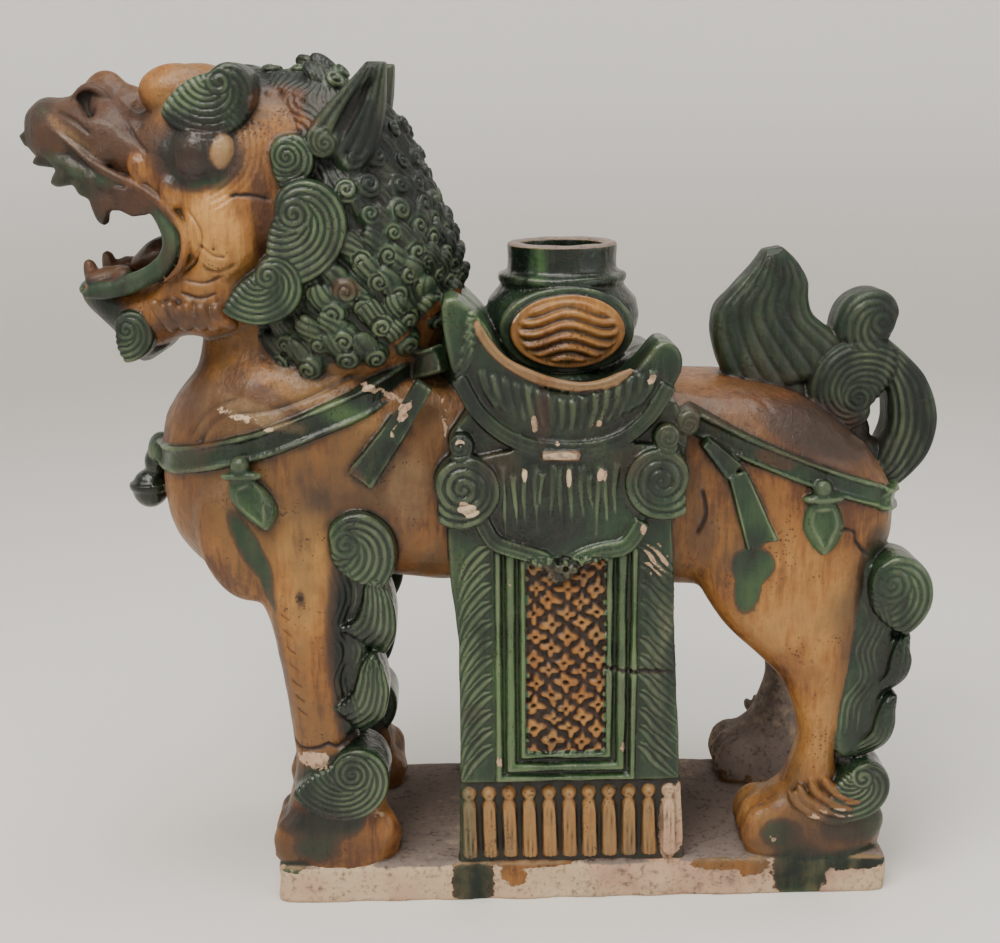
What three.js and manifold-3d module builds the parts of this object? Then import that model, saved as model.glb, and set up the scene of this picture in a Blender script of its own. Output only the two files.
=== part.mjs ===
// A glazed roof-ridge lion, fired as one piece: it strides on a slab, mouth open, with a vase on its saddle.
// Millimetres, +Z up. The lion faces -X and its near side is -Y. The origin is the middle of the slab's underside.
import * as THREE from 'three';
import { mergeVertices } from 'three/addons/utils/BufferGeometryUtils.js';
import Module from 'manifold-3d';

const wasm = await Module();
wasm.setup();

// Driving sizes
const lionLength = 620;
const slabLength = 438;
const slabDepth = 173;
const slabHeight = 27.6;
const slabCorner = 9;
const vaseHeight = 93;
const vaseBodyRadius = 53.5;
const vaseFootRadius = 41;
const vaseCollarRadius = 44;
const vaseNeckRadius = 37.5;
const vaseNeckHeight = 21;
const vaseWall = 9;
const vaseFloor = 14;
const vaseFootSunk = 16;
const glazeGreen = 0x3f5f3c;

// The lion's form is drawn at this length, with heights from the ground, and then takes lionLength
const drawnLength = 620;
const drawnSlabTop = 27.6;
const grow = lionLength / drawnLength;

// How finely the forms are faceted
const bodySides = 12;
const limbSides = 8;
const curlSides = 6;
const swirlSides = 8;
const toothSides = 4;
const vaseSegments = 14;
const ridgeStepsPerTurn = 6;
const skinTolerance = 1.9;
const lighteningPasses = 4;

// Meshes and solids

function meshOf(points, faces) {
  const geometry = new THREE.BufferGeometry();
  geometry.setAttribute('position', new THREE.Float32BufferAttribute(points.flat(), 3));
  geometry.setIndex(faces.flat());
  return geometry;
}

function signedVolume(points, faces) {
  let volume = 0;
  for (let i = 0; i < faces.length; i += 3) {
    const [a, b, c] = [faces[i], faces[i + 1], faces[i + 2]]
      .map((corner) => new THREE.Vector3(points[3 * corner], points[3 * corner + 1], points[3 * corner + 2]));
    volume += a.dot(b.cross(c)) / 6;
  }
  return volume;
}

function solid(source) {
  const bare = source.index ? source.toNonIndexed() : source.clone();
  bare.deleteAttribute('normal');
  bare.deleteAttribute('uv');
  const merged = mergeVertices(bare, 1e-4);
  const vertProperties = new Float32Array(merged.attributes.position.array);
  const triVerts = new Uint32Array(merged.index.array);
  if (signedVolume(vertProperties, triVerts) < 0) {
    for (let i = 0; i < triVerts.length; i += 3) {
      [triVerts[i], triVerts[i + 1]] = [triVerts[i + 1], triVerts[i]];
    }
  }
  return new wasm.Manifold(new wasm.Mesh({ numProp: 3, vertProperties, triVerts }));
}

function mirrored(geometry) {
  return geometry.clone().scale(1, -1, 1);
}

function bothSides(geometries) {
  return [...geometries, ...geometries.map(mirrored)];
}

function joined(geometries) {
  let solids = geometries.map(solid);
  while (solids.length > 1) {
    const pairs = [];
    for (let i = 0; i < solids.length; i += 2) {
      pairs.push(i + 1 < solids.length ? solids[i].add(solids[i + 1]) : solids[i]);
    }
    solids = pairs;
  }
  return solids[0];
}

// Corners that the joins leave and the skin doesn't need are drawn into a neighbour, while it stays closed
function lightened(form) {
  const { vertProperties, triVerts } = form.getMesh();
  const corners = [];
  for (let i = 0; i < vertProperties.length; i += 3) {
    corners.push(new THREE.Vector3(vertProperties[i], vertProperties[i + 1], vertProperties[i + 2]));
  }
  const faces = [];
  const facesAt = corners.map(() => new Set());
  for (let i = 0; i < triVerts.length; i += 3) {
    const face = [triVerts[i], triVerts[i + 1], triVerts[i + 2]];
    face.forEach((corner) => facesAt[corner].add(faces.length));
    faces.push(face);
  }
  const turned = (face) => {
    const [a, b, c] = face.map((corner) => corners[corner]);
    return b.clone().sub(a).cross(c.clone().sub(a));
  };
  const neighbours = (corner) => new Set([...facesAt[corner]].flatMap((face) => faces[face])
    .filter((other) => other !== corner));
  // How far the skin moves when a corner goes to its neighbour, or Infinity where a face would turn over
  const loss = (from, to) => {
    const shared = [...neighbours(from)].filter((corner) => neighbours(to).has(corner));
    if (shared.length !== 2) {
      return Infinity;
    }
    let furthest = 0;
    for (const index of facesAt[from]) {
      const face = faces[index];
      const normal = turned(face).normalize();
      furthest = Math.max(furthest, Math.abs(normal.dot(corners[to].clone().sub(corners[from]))));
      if (!face.includes(to)) {
        const moved = turned(face.map((corner) => (corner === from ? to : corner)));
        if (moved.length() < 1e-3 || moved.normalize().dot(normal) < 0.35) {
          return Infinity;
        }
      }
    }
    return furthest;
  };
  const draw = (from, to) => {
    for (const index of facesAt[from]) {
      if (faces[index].includes(to)) {
        faces[index].forEach((corner) => corner !== from && facesAt[corner].delete(index));
        faces[index] = null;
      } else {
        faces[index] = faces[index].map((corner) => (corner === from ? to : corner));
        facesAt[to].add(index);
      }
    }
    facesAt[from].clear();
  };
  for (let pass = 1; pass <= lighteningPasses; pass += 1) {
    const allowed = (skinTolerance * pass) / lighteningPasses;
    for (let from = 0; from < corners.length; from += 1) {
      const choices = facesAt[from].size ? [...neighbours(from)].map((to) => [loss(from, to), to]) : [];
      const [least, to] = choices.reduce((best, choice) => (choice[0] < best[0] ? choice : best), [Infinity]);
      if (least < allowed) {
        draw(from, to);
      }
    }
  }
  return solid(meshOf(corners.map((corner) => corner.toArray()), faces.filter((face) => face)));
}

// Forms

// A closed skin through rings; each ring has a middle and two half-size vectors, and power squares it off.
function loft(rings, sides, power = 2) {
  const points = [];
  const faces = [];
  const squared = (value) => Math.sign(value) * Math.abs(value) ** (2 / power);
  for (const { middle, across, up } of rings) {
    for (let side = 0; side < sides; side += 1) {
      const turn = (2 * Math.PI * (side + 0.5)) / sides;
      const c = squared(Math.cos(turn));
      const s = squared(Math.sin(turn));
      points.push(middle.map((value, axis) => value + across[axis] * c + up[axis] * s));
    }
  }
  for (let ring = 0; ring + 1 < rings.length; ring += 1) {
    for (let side = 0; side < sides; side += 1) {
      const next = (side + 1) % sides;
      const a = ring * sides + side;
      const b = ring * sides + next;
      faces.push([a, b, b + sides], [a, b + sides, a + sides]);
    }
  }
  const last = (rings.length - 1) * sides;
  for (let side = 1; side + 1 < sides; side += 1) {
    faces.push([0, side + 1, side], [last, last + side, last + side + 1]);
  }
  return meshOf(points, faces);
}

// Rings across X, each given as x, bottom, top and half width
function loftAlongX(stations, sides, power) {
  return loft(stations.map(([x, bottom, top, half]) => ({
    middle: [x, 0, (bottom + top) / 2],
    across: [0, half, 0],
    up: [0, 0, (top - bottom) / 2],
  })), sides, power);
}

// Level rings, each given as z, front, back, and the inner and outer distance from the lion's middle plane
function loftUp(stations, sides, power) {
  return loft(stations.map(([z, front, back, inner, outer]) => ({
    middle: [(front + back) / 2, -(inner + outer) / 2, z],
    across: [(back - front) / 2, 0, 0],
    up: [0, (outer - inner) / 2, 0],
  })), sides, power);
}

function ellipsoid(middle, half, sides = 8, rows = 4) {
  const geometry = new THREE.SphereGeometry(1, sides, rows);
  geometry.scale(half[0], half[1], half[2]);
  geometry.translate(middle[0], middle[1], middle[2]);
  return geometry;
}

// A smooth closed outline through x, z points
function smoothOutline(corners, stepsPerSpan) {
  const points = [];
  const count = corners.length;
  for (let i = 0; i < count; i += 1) {
    const [before, from, to, after] = [-1, 0, 1, 2].map((shift) => corners[(i + shift + count) % count]);
    for (let step = 0; step < stepsPerSpan; step += 1) {
      const t = step / stepsPerSpan;
      points.push([0, 1].map((axis) => 0.5 * (2 * from[axis] + (to[axis] - before[axis]) * t
        + (2 * before[axis] - 5 * from[axis] + 4 * to[axis] - after[axis]) * t * t
        + (3 * from[axis] - before[axis] - 3 * to[axis] + after[axis]) * t * t * t)));
    }
  }
  return points;
}

// A plate of an x, z outline between two distances from the middle plane, on the near side, with a soft outer edge
function plate(outline, inner, outer, edge = 3) {
  const shape = new THREE.Shape(outline.map(([x, z]) => new THREE.Vector2(x, z)));
  const geometry = new THREE.ExtrudeGeometry(shape, {
    depth: outer - inner - 2 * edge,
    bevelEnabled: edge > 0,
    bevelThickness: edge,
    bevelSize: edge,
    bevelOffset: -edge,
    bevelSegments: 1,
  });
  geometry.rotateX(Math.PI / 2);
  geometry.translate(0, -(inner + edge), 0);
  return geometry;
}

// A ridge or band along a path: each path point has a place, an outward and a sideways unit vector.
// The profile is a list of sideways and outward distances, and width thins it towards its end.
function ridge(path, profile, width = () => 1) {
  const points = [];
  const faces = [];
  const corners = profile.length;
  path.forEach(({ at, out, side }, step) => {
    const size = width(step / (path.length - 1));
    for (const [across, proud] of profile) {
      const rise = proud > 0 ? proud * size : proud;
      points.push([0, 1, 2].map((axis) => at[axis] + side[axis] * across * size + out[axis] * rise));
    }
  });
  for (let step = 0; step + 1 < path.length; step += 1) {
    for (let corner = 0; corner < corners; corner += 1) {
      const next = (corner + 1) % corners;
      const a = step * corners + corner;
      const b = step * corners + next;
      faces.push([a, b, b + corners], [a, b + corners, a + corners]);
    }
  }
  const last = (path.length - 1) * corners;
  for (let corner = 1; corner + 1 < corners; corner += 1) {
    faces.push([0, corner + 1, corner], [last, last + corner, last + corner + 1]);
  }
  return meshOf(points, faces);
}

// A path over the near side: x, z points with the distance from the middle plane
function sidePath(points, distance) {
  const away = typeof distance === 'function' ? distance : () => distance;
  return points.map(([x, z], step) => {
    const [x0, z0] = points[Math.max(step - 1, 0)];
    const [x1, z1] = points[Math.min(step + 1, points.length - 1)];
    const along = new THREE.Vector2(x1 - x0, z1 - z0).normalize();
    return { at: [x, -away(x, z), z], out: [0, -1, 0], side: [-along.y, 0, along.x] };
  });
}

// A spiral ridge on the near side that winds from its rim to its eye
function spiral([x, z], radius, distance, startDegrees, turns, hand) {
  const steps = Math.ceil(turns * ridgeStepsPerTurn);
  const points = [];
  for (let step = 0; step <= steps; step += 1) {
    const part = step / steps;
    const angle = THREE.MathUtils.degToRad(startDegrees + hand * 360 * turns * part);
    const reach = radius * (1 - 0.86 * part);
    points.push([x + reach * Math.cos(angle), z + reach * Math.sin(angle)]);
  }
  const half = radius * 0.13;
  return ridge(sidePath(points, distance), [[-half, -1.5], [0, 0.7 * half + 1.2], [half, -1.5]], (t) => 1 - 0.35 * t);
}

// A curl of hair seen from the side: a round boss with a spiral ridge on its face
function swirl([x, z], radius, inner, outer, startDegrees, turns, hand) {
  const boss = loft([
    { middle: [x, -inner, z], across: [radius * 1.15, 0, 0], up: [0, 0, radius * 1.15] },
    { middle: [x, -outer, z], across: [radius * 0.86, 0, 0], up: [0, 0, radius * 0.86] },
  ], swirlSides);
  return [boss, spiral([x, z], radius * 0.84, outer, startDegrees, turns, hand)];
}

function between(from, to, part) {
  return from + (to - from) * part;
}

// Reads a value off a list of rows by its first number
function reading(rows, at, column) {
  const ordered = rows[0][0] < rows[rows.length - 1][0] ? rows : [...rows].reverse();
  const place = Math.min(Math.max(at, ordered[0][0]), ordered[ordered.length - 1][0]);
  const upper = Math.max(ordered.findIndex((row) => row[0] >= place), 1);
  const [low, high] = [ordered[upper - 1], ordered[upper]];
  return between(low[column], high[column], (place - low[0]) / (high[0] - low[0]));
}

// Body, neck and mane

// x, bottom, top, half width
const torso = [
  [-291, 278, 324, 14],
  [-285, 258, 342, 36],
  [-271, 240, 362, 53],
  [-246, 222, 384, 67],
  [-204, 212, 398, 77],
  [-150, 224, 388, 78],
  [-95, 220, 372, 74],
  [-20, 218, 361, 71],
  [60, 214, 361, 73],
  [108, 212, 359, 78],
  [155, 214, 346, 80],
  [190, 224, 320, 75],
  [208, 236, 300, 61],
  [217, 250, 282, 36],
];
const torsoPower = 3;

// The distance of the flank from the middle plane
function flank(x, z) {
  const bottom = reading(torso, x, 1);
  const top = reading(torso, x, 2);
  const half = reading(torso, x, 3);
  const height = Math.min(Math.abs((z - (bottom + top) / 2) / ((top - bottom) / 2)), 0.999);
  return half * (1 - height ** torsoPower) ** (1 / torsoPower);
}

// z, front, back, and half width
const mane = [
  [360, -214, -112, 56],
  [378, -226, -94, 66],
  [402, -224, -86, 71],
  [432, -218, -88, 73],
  [462, -212, -95, 71],
  [492, -208, -105, 66],
  [516, -208, -115, 60],
  [538, -210, -128, 52],
  [556, -214, -146, 40],
  [565, -212, -166, 24],
];

function maneSurface(z, turn) {
  const front = reading(mane, z, 1);
  const back = reading(mane, z, 2);
  const half = reading(mane, z, 3);
  return [
    (front + back) / 2 + ((back - front) / 2) * Math.cos(turn),
    -half * Math.sin(turn),
    z,
  ];
}

function body() {
  const neck = loftUp([
    [318, -272, -110, -62, 62],
    [345, -276, -104, -64, 64],
    [366, -266, -100, -61, 61],
    [390, -260, -100, -56, 56],
    [430, -255, -110, -52, 52],
  ], bodySides, 2.2);
  const maneMass = loftUp(mane.map(([z, front, back, half]) => [z, front, back, -half, half]), bodySides, 2.2);
  return [loftAlongX(torso, bodySides, torsoPower), neck, maneMass];
}

// Face

// x and half width of the muzzle at the lips
const muzzle = [[-365, 14], [-352, 27], [-336, 36], [-318, 42], [-298, 46], [-282, 50], [-262, 57]];

function head() {
  const upperFace = loftAlongX([
    [-370, 517, 545, 18],
    [-358, 508, 554, 30],
    [-344, 503, 552, 38],
    [-326, 499, 556, 43],
    [-306, 494, 554, 46],
    [-291, 486, 541, 50],
    [-279, 470, 548, 56],
    [-262, 448, 564, 61],
    [-236, 425, 570, 64],
    [-208, 420, 566, 64],
    [-180, 430, 560, 56],
  ], bodySides, 2.3);
  const lowerJaw = loftAlongX([
    [-341, 415, 425, 14],
    [-334, 404, 436, 26],
    [-322, 388, 438, 35],
    [-304, 382, 434, 42],
    [-286, 386, 440, 48],
    [-268, 392, 462, 55],
    [-240, 388, 480, 60],
    [-206, 392, 480, 58],
  ], bodySides, 2.3);
  const nose = ellipsoid([-322, 0, 549], [16, 24, 20], 8, 4);
  const nostrils = bothSides([ellipsoid([-331, -19, 545], [12, 10, 13], 6, 4)]);
  const forehead = ellipsoid([-254, 0, 552], [32, 30, 22], 8, 4);
  const tongue = loftAlongX([
    [-303, 436, 447, 20],
    [-292, 436, 457, 26],
    [-270, 440, 464, 24],
  ], limbSides);
  const chinTip = loftUp([
    [371, -312, -304, -8, 8],
    [384, -326, -288, -24, 24],
    [398, -330, -280, -30, 30],
  ], limbSides);
  return [upperFace, lowerJaw, nose, forehead, tongue, chinTip, ...nostrils, ...bothSides(faceSide()), ...wrinkles()];
}

// A blunt tooth that hangs or stands from the lip
function tooth([x, z], [tipX, tipZ], half, distance) {
  const point = (px, pz, size) => ({
    middle: [px, -distance, pz],
    across: [size, 0, 0],
    up: [0, size, 0],
  });
  return loft([point(x, z, half), point(tipX, tipZ, half * 0.4)], toothSides);
}

function faceSide() {
  const eyeball = ellipsoid([-254, -48, 519], [20, 17, 20], 8, 5);
  const brow = plate([
    [-270, 540], [-263, 552], [-247, 562], [-238, 573], [-226, 576], [-216, 568], [-212, 552], [-220, 536],
    [-236, 529], [-255, 531],
  ], 24, 58, 5);
  const lip = ridge(sidePath([
    [-362, 530], [-346, 515], [-327, 504], [-307, 497], [-288, 491], [-274, 479], [-267, 463], [-270, 449],
    [-283, 439], [-303, 431], [-321, 426], [-333, 423],
  ], (x) => reading(muzzle, x, 1) + 1), [[-6, -12], [-5, 2], [5, 2], [6, -12]]);
  const upperTeeth = [
    tooth([-360, 523], [-366, 508], 8, 17),
    tooth([-343, 508], [-350, 493], 8, 30),
    tooth([-325, 501], [-323, 488], 9, 38),
    tooth([-312, 496], [-313, 470], 7.5, 41),
    tooth([-295, 492], [-293, 475], 9, 43),
  ];
  const lowerTeeth = [
    tooth([-328, 430], [-329, 448], 4.5, 24),
    ...[-318, -309, -300].map((x) => tooth([x, 431], [x, 445], 5, 34)),
  ];
  const cheekBumps = [
    ellipsoid([-288, -48, 509], [9, 7, 10], 6, 4),
    ellipsoid([-265, -56, 495], [10, 7, 11], 6, 4),
    ellipsoid([-232, -56, 464], [26, 13, 32], 8, 4),
  ];
  const ear = plate(smoothOutline([
    [-166, 520], [-158, 548], [-148, 563], [-135, 573], [-129, 568], [-131, 552], [-129, 535], [-140, 516],
    [-155, 506],
  ], 1), 40, 62, 2);
  const earFold = ridge(sidePath([[-158, 524], [-149, 545], [-134, 566]], 61), [[-5, -4], [0, 4], [5, -4]]);
  return [
    eyeball, brow, spiral([-231, 555], 17, 57.5, 200, 1.3, 1), lip,
    ...upperTeeth, ...lowerTeeth, ...cheekBumps, ear, earFold,
    ...swirl([-188, 514], 15, 40, 68, 120, 1.3, -1),
    ...swirl([-177, 464], 28, 40, 80, 250, 1.7, -1),
    ...swirl([-205, 424], 22, 40, 80, 200, 1.5, -1),
    ...swirl([-301, 399], 12, 10, 38, 180, 1.2, -1),
  ];
}

function wrinkles() {
  return [0, 1, 2].map((row) => ridge(sidePath([
    [-266 + 3 * row, 436 - 8 * row], [-254, 441 - 9 * row], [-240, 440 - 9 * row],
  ], 60), [[-3, -8], [0, 3], [3, -8]]));
}

// Curls of the mane

const curlPitch = 29;
const curlRadius = 12.5;
const curlHeight = 10;
// Places on the side that the large swirls and the ear take, as x, z and reach
const smoothPlaces = [[-188, 514, 24], [-177, 466, 37], [-205, 424, 31], [-147, 540, 27]];

function curl(middle, out) {
  const outward = new THREE.Vector3(...out).normalize();
  const aside = new THREE.Vector3(0, 0, 1).cross(outward).normalize();
  const upward = outward.clone().cross(aside);
  const ring = (rise, size) => ({
    middle: middle.map((value, axis) => value + outward.getComponent(axis) * rise),
    across: aside.toArray().map((value) => value * size),
    up: upward.toArray().map((value) => value * size),
  });
  return loft([
    ring(-4, curlRadius * 1.1),
    ring(curlHeight, curlRadius * 0.55),
  ], curlSides);
}

function curls() {
  const made = [];
  const lowest = mane[0][0] + 14;
  const highest = 560;
  const rows = Math.round((highest - lowest) / (curlPitch * 0.82));
  for (let row = 0; row <= rows; row += 1) {
    const z = between(lowest, highest, row / rows);
    const [back] = maneSurface(z, 0);
    const [front] = maneSurface(z, Math.PI);
    const half = reading(mane, z, 3);
    const girth = Math.PI * Math.sqrt(((back - front) ** 2 / 4 + half ** 2) / 2);
    const count = Math.round(girth / curlPitch);
    const stagger = row % 2 === 0 ? 0 : 0.5;
    for (let place = 0; place + stagger < count; place += 1) {
      const turn = (Math.PI * (place + stagger)) / count;
      const middle = maneSurface(z, turn);
      const covered = smoothPlaces.some(([x, height, reach]) => Math.hypot(middle[0] - x, z - height) < reach);
      const behindFace = middle[0] > (z < 400 ? -226 : -203);
      if (!covered && behindFace) {
        const lean = (z - 455) / 130;
        const out = [Math.cos(turn) * half, -Math.sin(turn) * ((back - front) / 2), lean * half];
        made.push(curl(middle, out));
        if (Math.sin(turn) > 0.01) {
          made.push(mirrored(curl(middle, out)));
        }
      }
    }
  }
  for (const x of [-200, -176]) {
    made.push(curl([x, 0, 563], [-0.1, 0, 1]));
  }
  return made;
}

// Legs and paws

function frontLeg() {
  const column = loftUp([
    [270, -236, -134, 24, 79],
    [221, -222, -150, 30, 81],
    [190, -213, -158, 34, 82],
    [142, -206, -160, 37, 81],
    [115, -204, -158, 38, 80],
    [96, -203, -146, 36, 82],
    [68, -208, -138, 32, 84],
    [20, -214, -132, 30, 84],
  ], limbSides, 2.3);
  const fringe = plate([
    [-176, 262], [-160, 281], [-143, 277], [-133, 262], [-133, 243], [-141, 234], [-133, 222], [-129, 204],
    [-132, 188], [-142, 180], [-136, 168], [-136, 151], [-144, 133], [-158, 123], [-176, 120],
  ], 36, 77, 4);
  const combs = [[-154, 206, 18, 26], [-159, 154, 15, 24]].map(([x, z, wide, tall]) => ridge(sidePath(
    [75, 25, -25, -75].map((degrees) => {
      const angle = THREE.MathUtils.degToRad(degrees);
      return [x + wide * Math.cos(angle), z + tall * Math.sin(angle)];
    }), 77,
  ), [[-4, -2], [0, 5], [4, -2]]));
  return [
    column, fringe, ...combs, ...paw(-219, -128, 30, 84),
    ...swirl([-154, 259], 21, 50, 84, 200, 1.6, -1),
    ...swirl([-166, 90], 25, 50, 87, 160, 1.6, -1),
  ];
}

// A paw on the slab, with three toes at its front and one behind
function paw(front, back, inner, outer) {
  const middle = (inner + outer) / 2;
  const length = back - front;
  const pad = loftUp([
    [20, front + 4, back - 6, inner, outer + 1],
    [42, front, back, inner - 2, outer + 1],
    [60, front + 10, back - 22, inner + 2, outer],
    [74, front + 24, back - 34, inner + 10, outer - 8],
  ], limbSides, 2.6);
  const toeHalf = (outer - inner) / 6;
  const toes = [-1, 0, 1].map((place) => loft([[24, 0.9], [52, 1], [64, 0.55]].map(([z, size]) => ({
    middle: [front + length * 0.12, -(middle + place * (2 * toeHalf + 1)), z],
    across: [length * 0.18 * size, 0, 0],
    up: [0, (toeHalf + 1) * size, 0],
  })), 5));
  const rearToe = ellipsoid([back - length * 0.15, -(outer - 12), 50], [length * 0.15, 13, 17], 6, 4);
  return [pad, ...toes, rearToe];
}

function hindLeg() {
  const limb = loftUp([
    [300, 84, 202, 16, 78],
    [262, 74, 205, 22, 81],
    [222, 80, 203, 26, 82],
    [197, 95, 199, 28, 80],
    [174, 118, 194, 30, 79],
    [150, 142, 188, 34, 78],
    [115, 153, 180, 38, 77],
    [94, 148, 178, 38, 78],
    [68, 139, 186, 34, 82],
    [20, 128, 200, 30, 84],
  ], limbSides, 2.3);
  const fringe = plate([
    [190, 236], [204, 245], [219, 238], [228, 220], [227, 201], [218, 187], [223, 172], [219, 159], [214, 152],
    [212, 138], [213, 125], [208, 111], [196, 98], [176, 104], [176, 140], [186, 180],
  ], 38, 77, 4);
  const combs = [[206, 172, 10], [200, 127, 8]].map(([x, z, wide]) => ridge(sidePath([
    [x - 6, z + 20], [x + wide, z + 8], [x + wide, z - 8], [x - 4, z - 20],
  ], 77), [[-3, -2], [0, 4], [3, -2]]));
  return [
    limb, fringe, ...combs, ...paw(112, 216, 30, 84),
    ...swirl([208, 224], 18, 46, 83, 160, 1.5, -1),
    ...swirl([192, 85], 20, 46, 86, 160, 1.5, -1),
  ];
}

// Tail

const tailHalf = 15;

function tail() {
  const outline = smoothOutline([
    [104, 336], [98, 364], [92, 390], [98, 414], [116, 429], [127, 445], [138, 449], [150, 436], [158, 421],
    [161, 402], [175, 393], [177, 406], [188, 419], [204, 419], [219, 406], [218, 392], [210, 385], [234, 371],
    [248, 346], [249, 318], [242, 293], [226, 281], [196, 268], [150, 300],
  ], 2);
  const sheet = plate(outline, -tailHalf, tailHalf, 5);
  const eyelet = plate([[197, 344], [207, 345], [217, 338], [220, 324], [212, 309], [203, 314], [201, 330]], -40, 40, 0);
  const left = [[350, 108], [376, 97], [392, 95], [410, 101], [424, 113], [436, 124]];
  const right = [[350, 176], [376, 170], [392, 164], [404, 160], [424, 156], [436, 148]];
  const flutes = [0.2, 0.5, 0.8].map((share) => ridge(sidePath(
    [354, 380, 406, 430].map((z) => [between(reading(left, z, 1), reading(right, z, 1), share), z]), tailHalf,
  ), [[-8, -2], [0, 5], [8, -2]], (t) => 1 - 0.5 * t));
  const waves = [46, 35].map((reach) => ridge(sidePath([62, 26, -10, -46].map((degrees) => {
    const angle = THREE.MathUtils.degToRad(degrees);
    return [197 + reach * Math.cos(angle), 330 + reach * Math.sin(angle)];
  }), tailHalf), [[-5, -2], [0, 5], [5, -2]]));
  const relief = bothSides([
    ...flutes, ...waves,
    ...swirl([177, 347], 29, -10, tailHalf + 6, 60, 1.7, 1),
    ...swirl([200, 401], 18, -10, tailHalf + 3, 180, 1.5, -1),
  ]);
  return { sheet: [sheet, ...relief], eyelet };
}

// Saddle, cloths and harness

const clothDistance = 87;

function saddle() {
  const seat = loftAlongX([
    [-96, 340, 414, 40],
    [-84, 332, 425, 56],
    [-66, 330, 408, 62],
    [-50, 328, 384, 64],
    [-12, 326, 372, 66],
    [30, 328, 374, 64],
    [46, 332, 380, 60],
    [60, 340, 374, 46],
  ], bodySides, 2.6);
  const flap = plate([
    [-94, 420], [-84, 425], [-66, 408], [-56, 386], [-38, 368], [-12, 360], [18, 366], [34, 382], [46, 396],
    [58, 391], [60, 376], [48, 352], [26, 334], [-12, 325], [-50, 333], [-74, 352], [-88, 380],
  ], 44, 78, 4);
  const rim = ridge(sidePath([
    [-91, 400], [-82, 370], [-64, 346], [-38, 332], [-12, 328], [16, 333], [40, 348], [55, 372], [54, 390],
  ], 79), [[-5, -6], [-3, 4], [3, 4], [5, -6]]);
  const strokes = [-60, -42, -24, -6, 12, 30].map((x) => ridge(sidePath([
    [x * 0.75 - 3, 338 + Math.abs(x + 12) * 0.3], [x, 366 + Math.abs(x + 12) * 0.12],
  ], 78), [[-4, -2], [0, 3], [4, -2]]));
  const farFlap = mirrored(plate([
    [-90, 380], [-66, 384], [-38, 368], [-12, 360], [18, 366], [46, 374], [60, 366], [48, 348], [26, 334],
    [-12, 325], [-50, 333], [-74, 352],
  ], 44, 78, 4));
  return [seat, flap, rim, farFlap, ...strokes];
}

// The bracket-shaped lower hem of the short cloth, as x, z points
const hem = [
  [-82, 276], [-68, 276], [-56, 259], [-40, 255], [-27, 253], [-17, 244], [-6, 251], [8, 254], [24, 259], [38, 274],
  [52, 284],
];

function shortCloth() {
  const sheet = plate([
    ...hem, [70, 300], [66, 322], [40, 336], [-66, 336], [-98, 318], [-100, 296],
  ], 60, clothDistance + 3, 0);
  const rim = ridge(sidePath(hem, clothDistance + 3), [[-4, -6], [-3, 3], [3, 3], [4, -6]]);
  const strokes = [-52, -38, -24, -10, 4, 18].map((x) => ridge(
    sidePath([[x + 3, 322], [x, 276]], clothDistance + 3), [[-4, -3], [0, 3], [4, -3]],
  ));
  return [...strokes, ...bothSides([
    sheet, rim,
    ...swirl([-79, 297], 23, 60, clothDistance + 5, 300, 1.6, 1),
    ...swirl([47, 307], 22, 60, clothDistance + 5, 240, 1.6, -1),
    ellipsoid([-72, -84, 325], [11, 10, 9], 6, 4),
    ellipsoid([50, -84, 333], [11, 10, 9], 6, 4),
  ])];
}

const panelLeft = -88;
const panelRight = 61;
const panelFoot = 89;
const fringeFoot = 33;
const fieldLeft = -41;
const fieldRight = 13;
const fieldFoot = 111;
const fieldTop = 244;
const railWidth = 21;

function longCloth() {
  const sheet = plate([
    [panelLeft + 2, panelFoot], [panelRight + 4, panelFoot], [panelRight - 5, 262], [panelLeft - 4, 262],
  ], 66, clothDistance, 2);
  const fringeSheet = plate([
    [panelLeft + 2, fringeFoot - 9], [panelRight + 8, fringeFoot - 9], [panelRight + 5, panelFoot],
    [panelLeft + 2, panelFoot],
  ], 68, clothDistance - 3, 1);
  const half = railWidth / 2;
  const flat = [0, -1, 0];
  const rail = ridge([
    { at: [fieldLeft - half, -clothDistance, 262], out: flat, side: [1, 0, 0] },
    { at: [fieldLeft - half, -clothDistance, fieldFoot - half], out: flat, side: [1, 0, 1] },
    { at: [fieldRight + half, -clothDistance, fieldFoot - half], out: flat, side: [-1, 0, 1] },
    { at: [fieldRight + half, -clothDistance, 262], out: flat, side: [-1, 0, 0] },
  ], [[-half, -3], [-half + 1, 3.5], [-3.5, 1], [0, 4.5], [3.5, 1], [half - 1, 3.5], [half, -3]]);
  const feathers = [];
  for (let row = 0; row < 6; row += 1) {
    const z = between(106, 224, row / 5);
    for (const [inside, edge] of [
      [fieldLeft - railWidth - 3, panelLeft + 4],
      [fieldRight + railWidth + 3, panelRight - 3],
    ]) {
      feathers.push(ridge(sidePath([[inside, z + 16], [edge, z - 6]], clothDistance), [[-4, -2], [0, 2.5], [4, -2]]));
    }
  }
  const flowers = [];
  const columns = 4;
  const rows = 8;
  for (let row = 0; row < rows; row += 1) {
    const shift = row % 2 === 0 ? 0.5 : 1;
    for (let column = 0; column + shift < columns; column += 1) {
      const x = between(fieldLeft, fieldRight, (column + shift) / columns);
      const z = between(fieldFoot, fieldTop, (row + 0.5) / rows);
      flowers.push(loft([
        { middle: [x, -clothDistance + 2, z], across: [6.2, 0, 0], up: [0, 0, 7] },
        { middle: [x, -clothDistance - 3.5, z], across: [2, 0, 0], up: [0, 0, 2.4] },
      ], 4));
    }
  }
  return [...feathers, ...flowers, ...bothSides([sheet, fringeSheet, rail, ...tassels()])];
}

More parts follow.
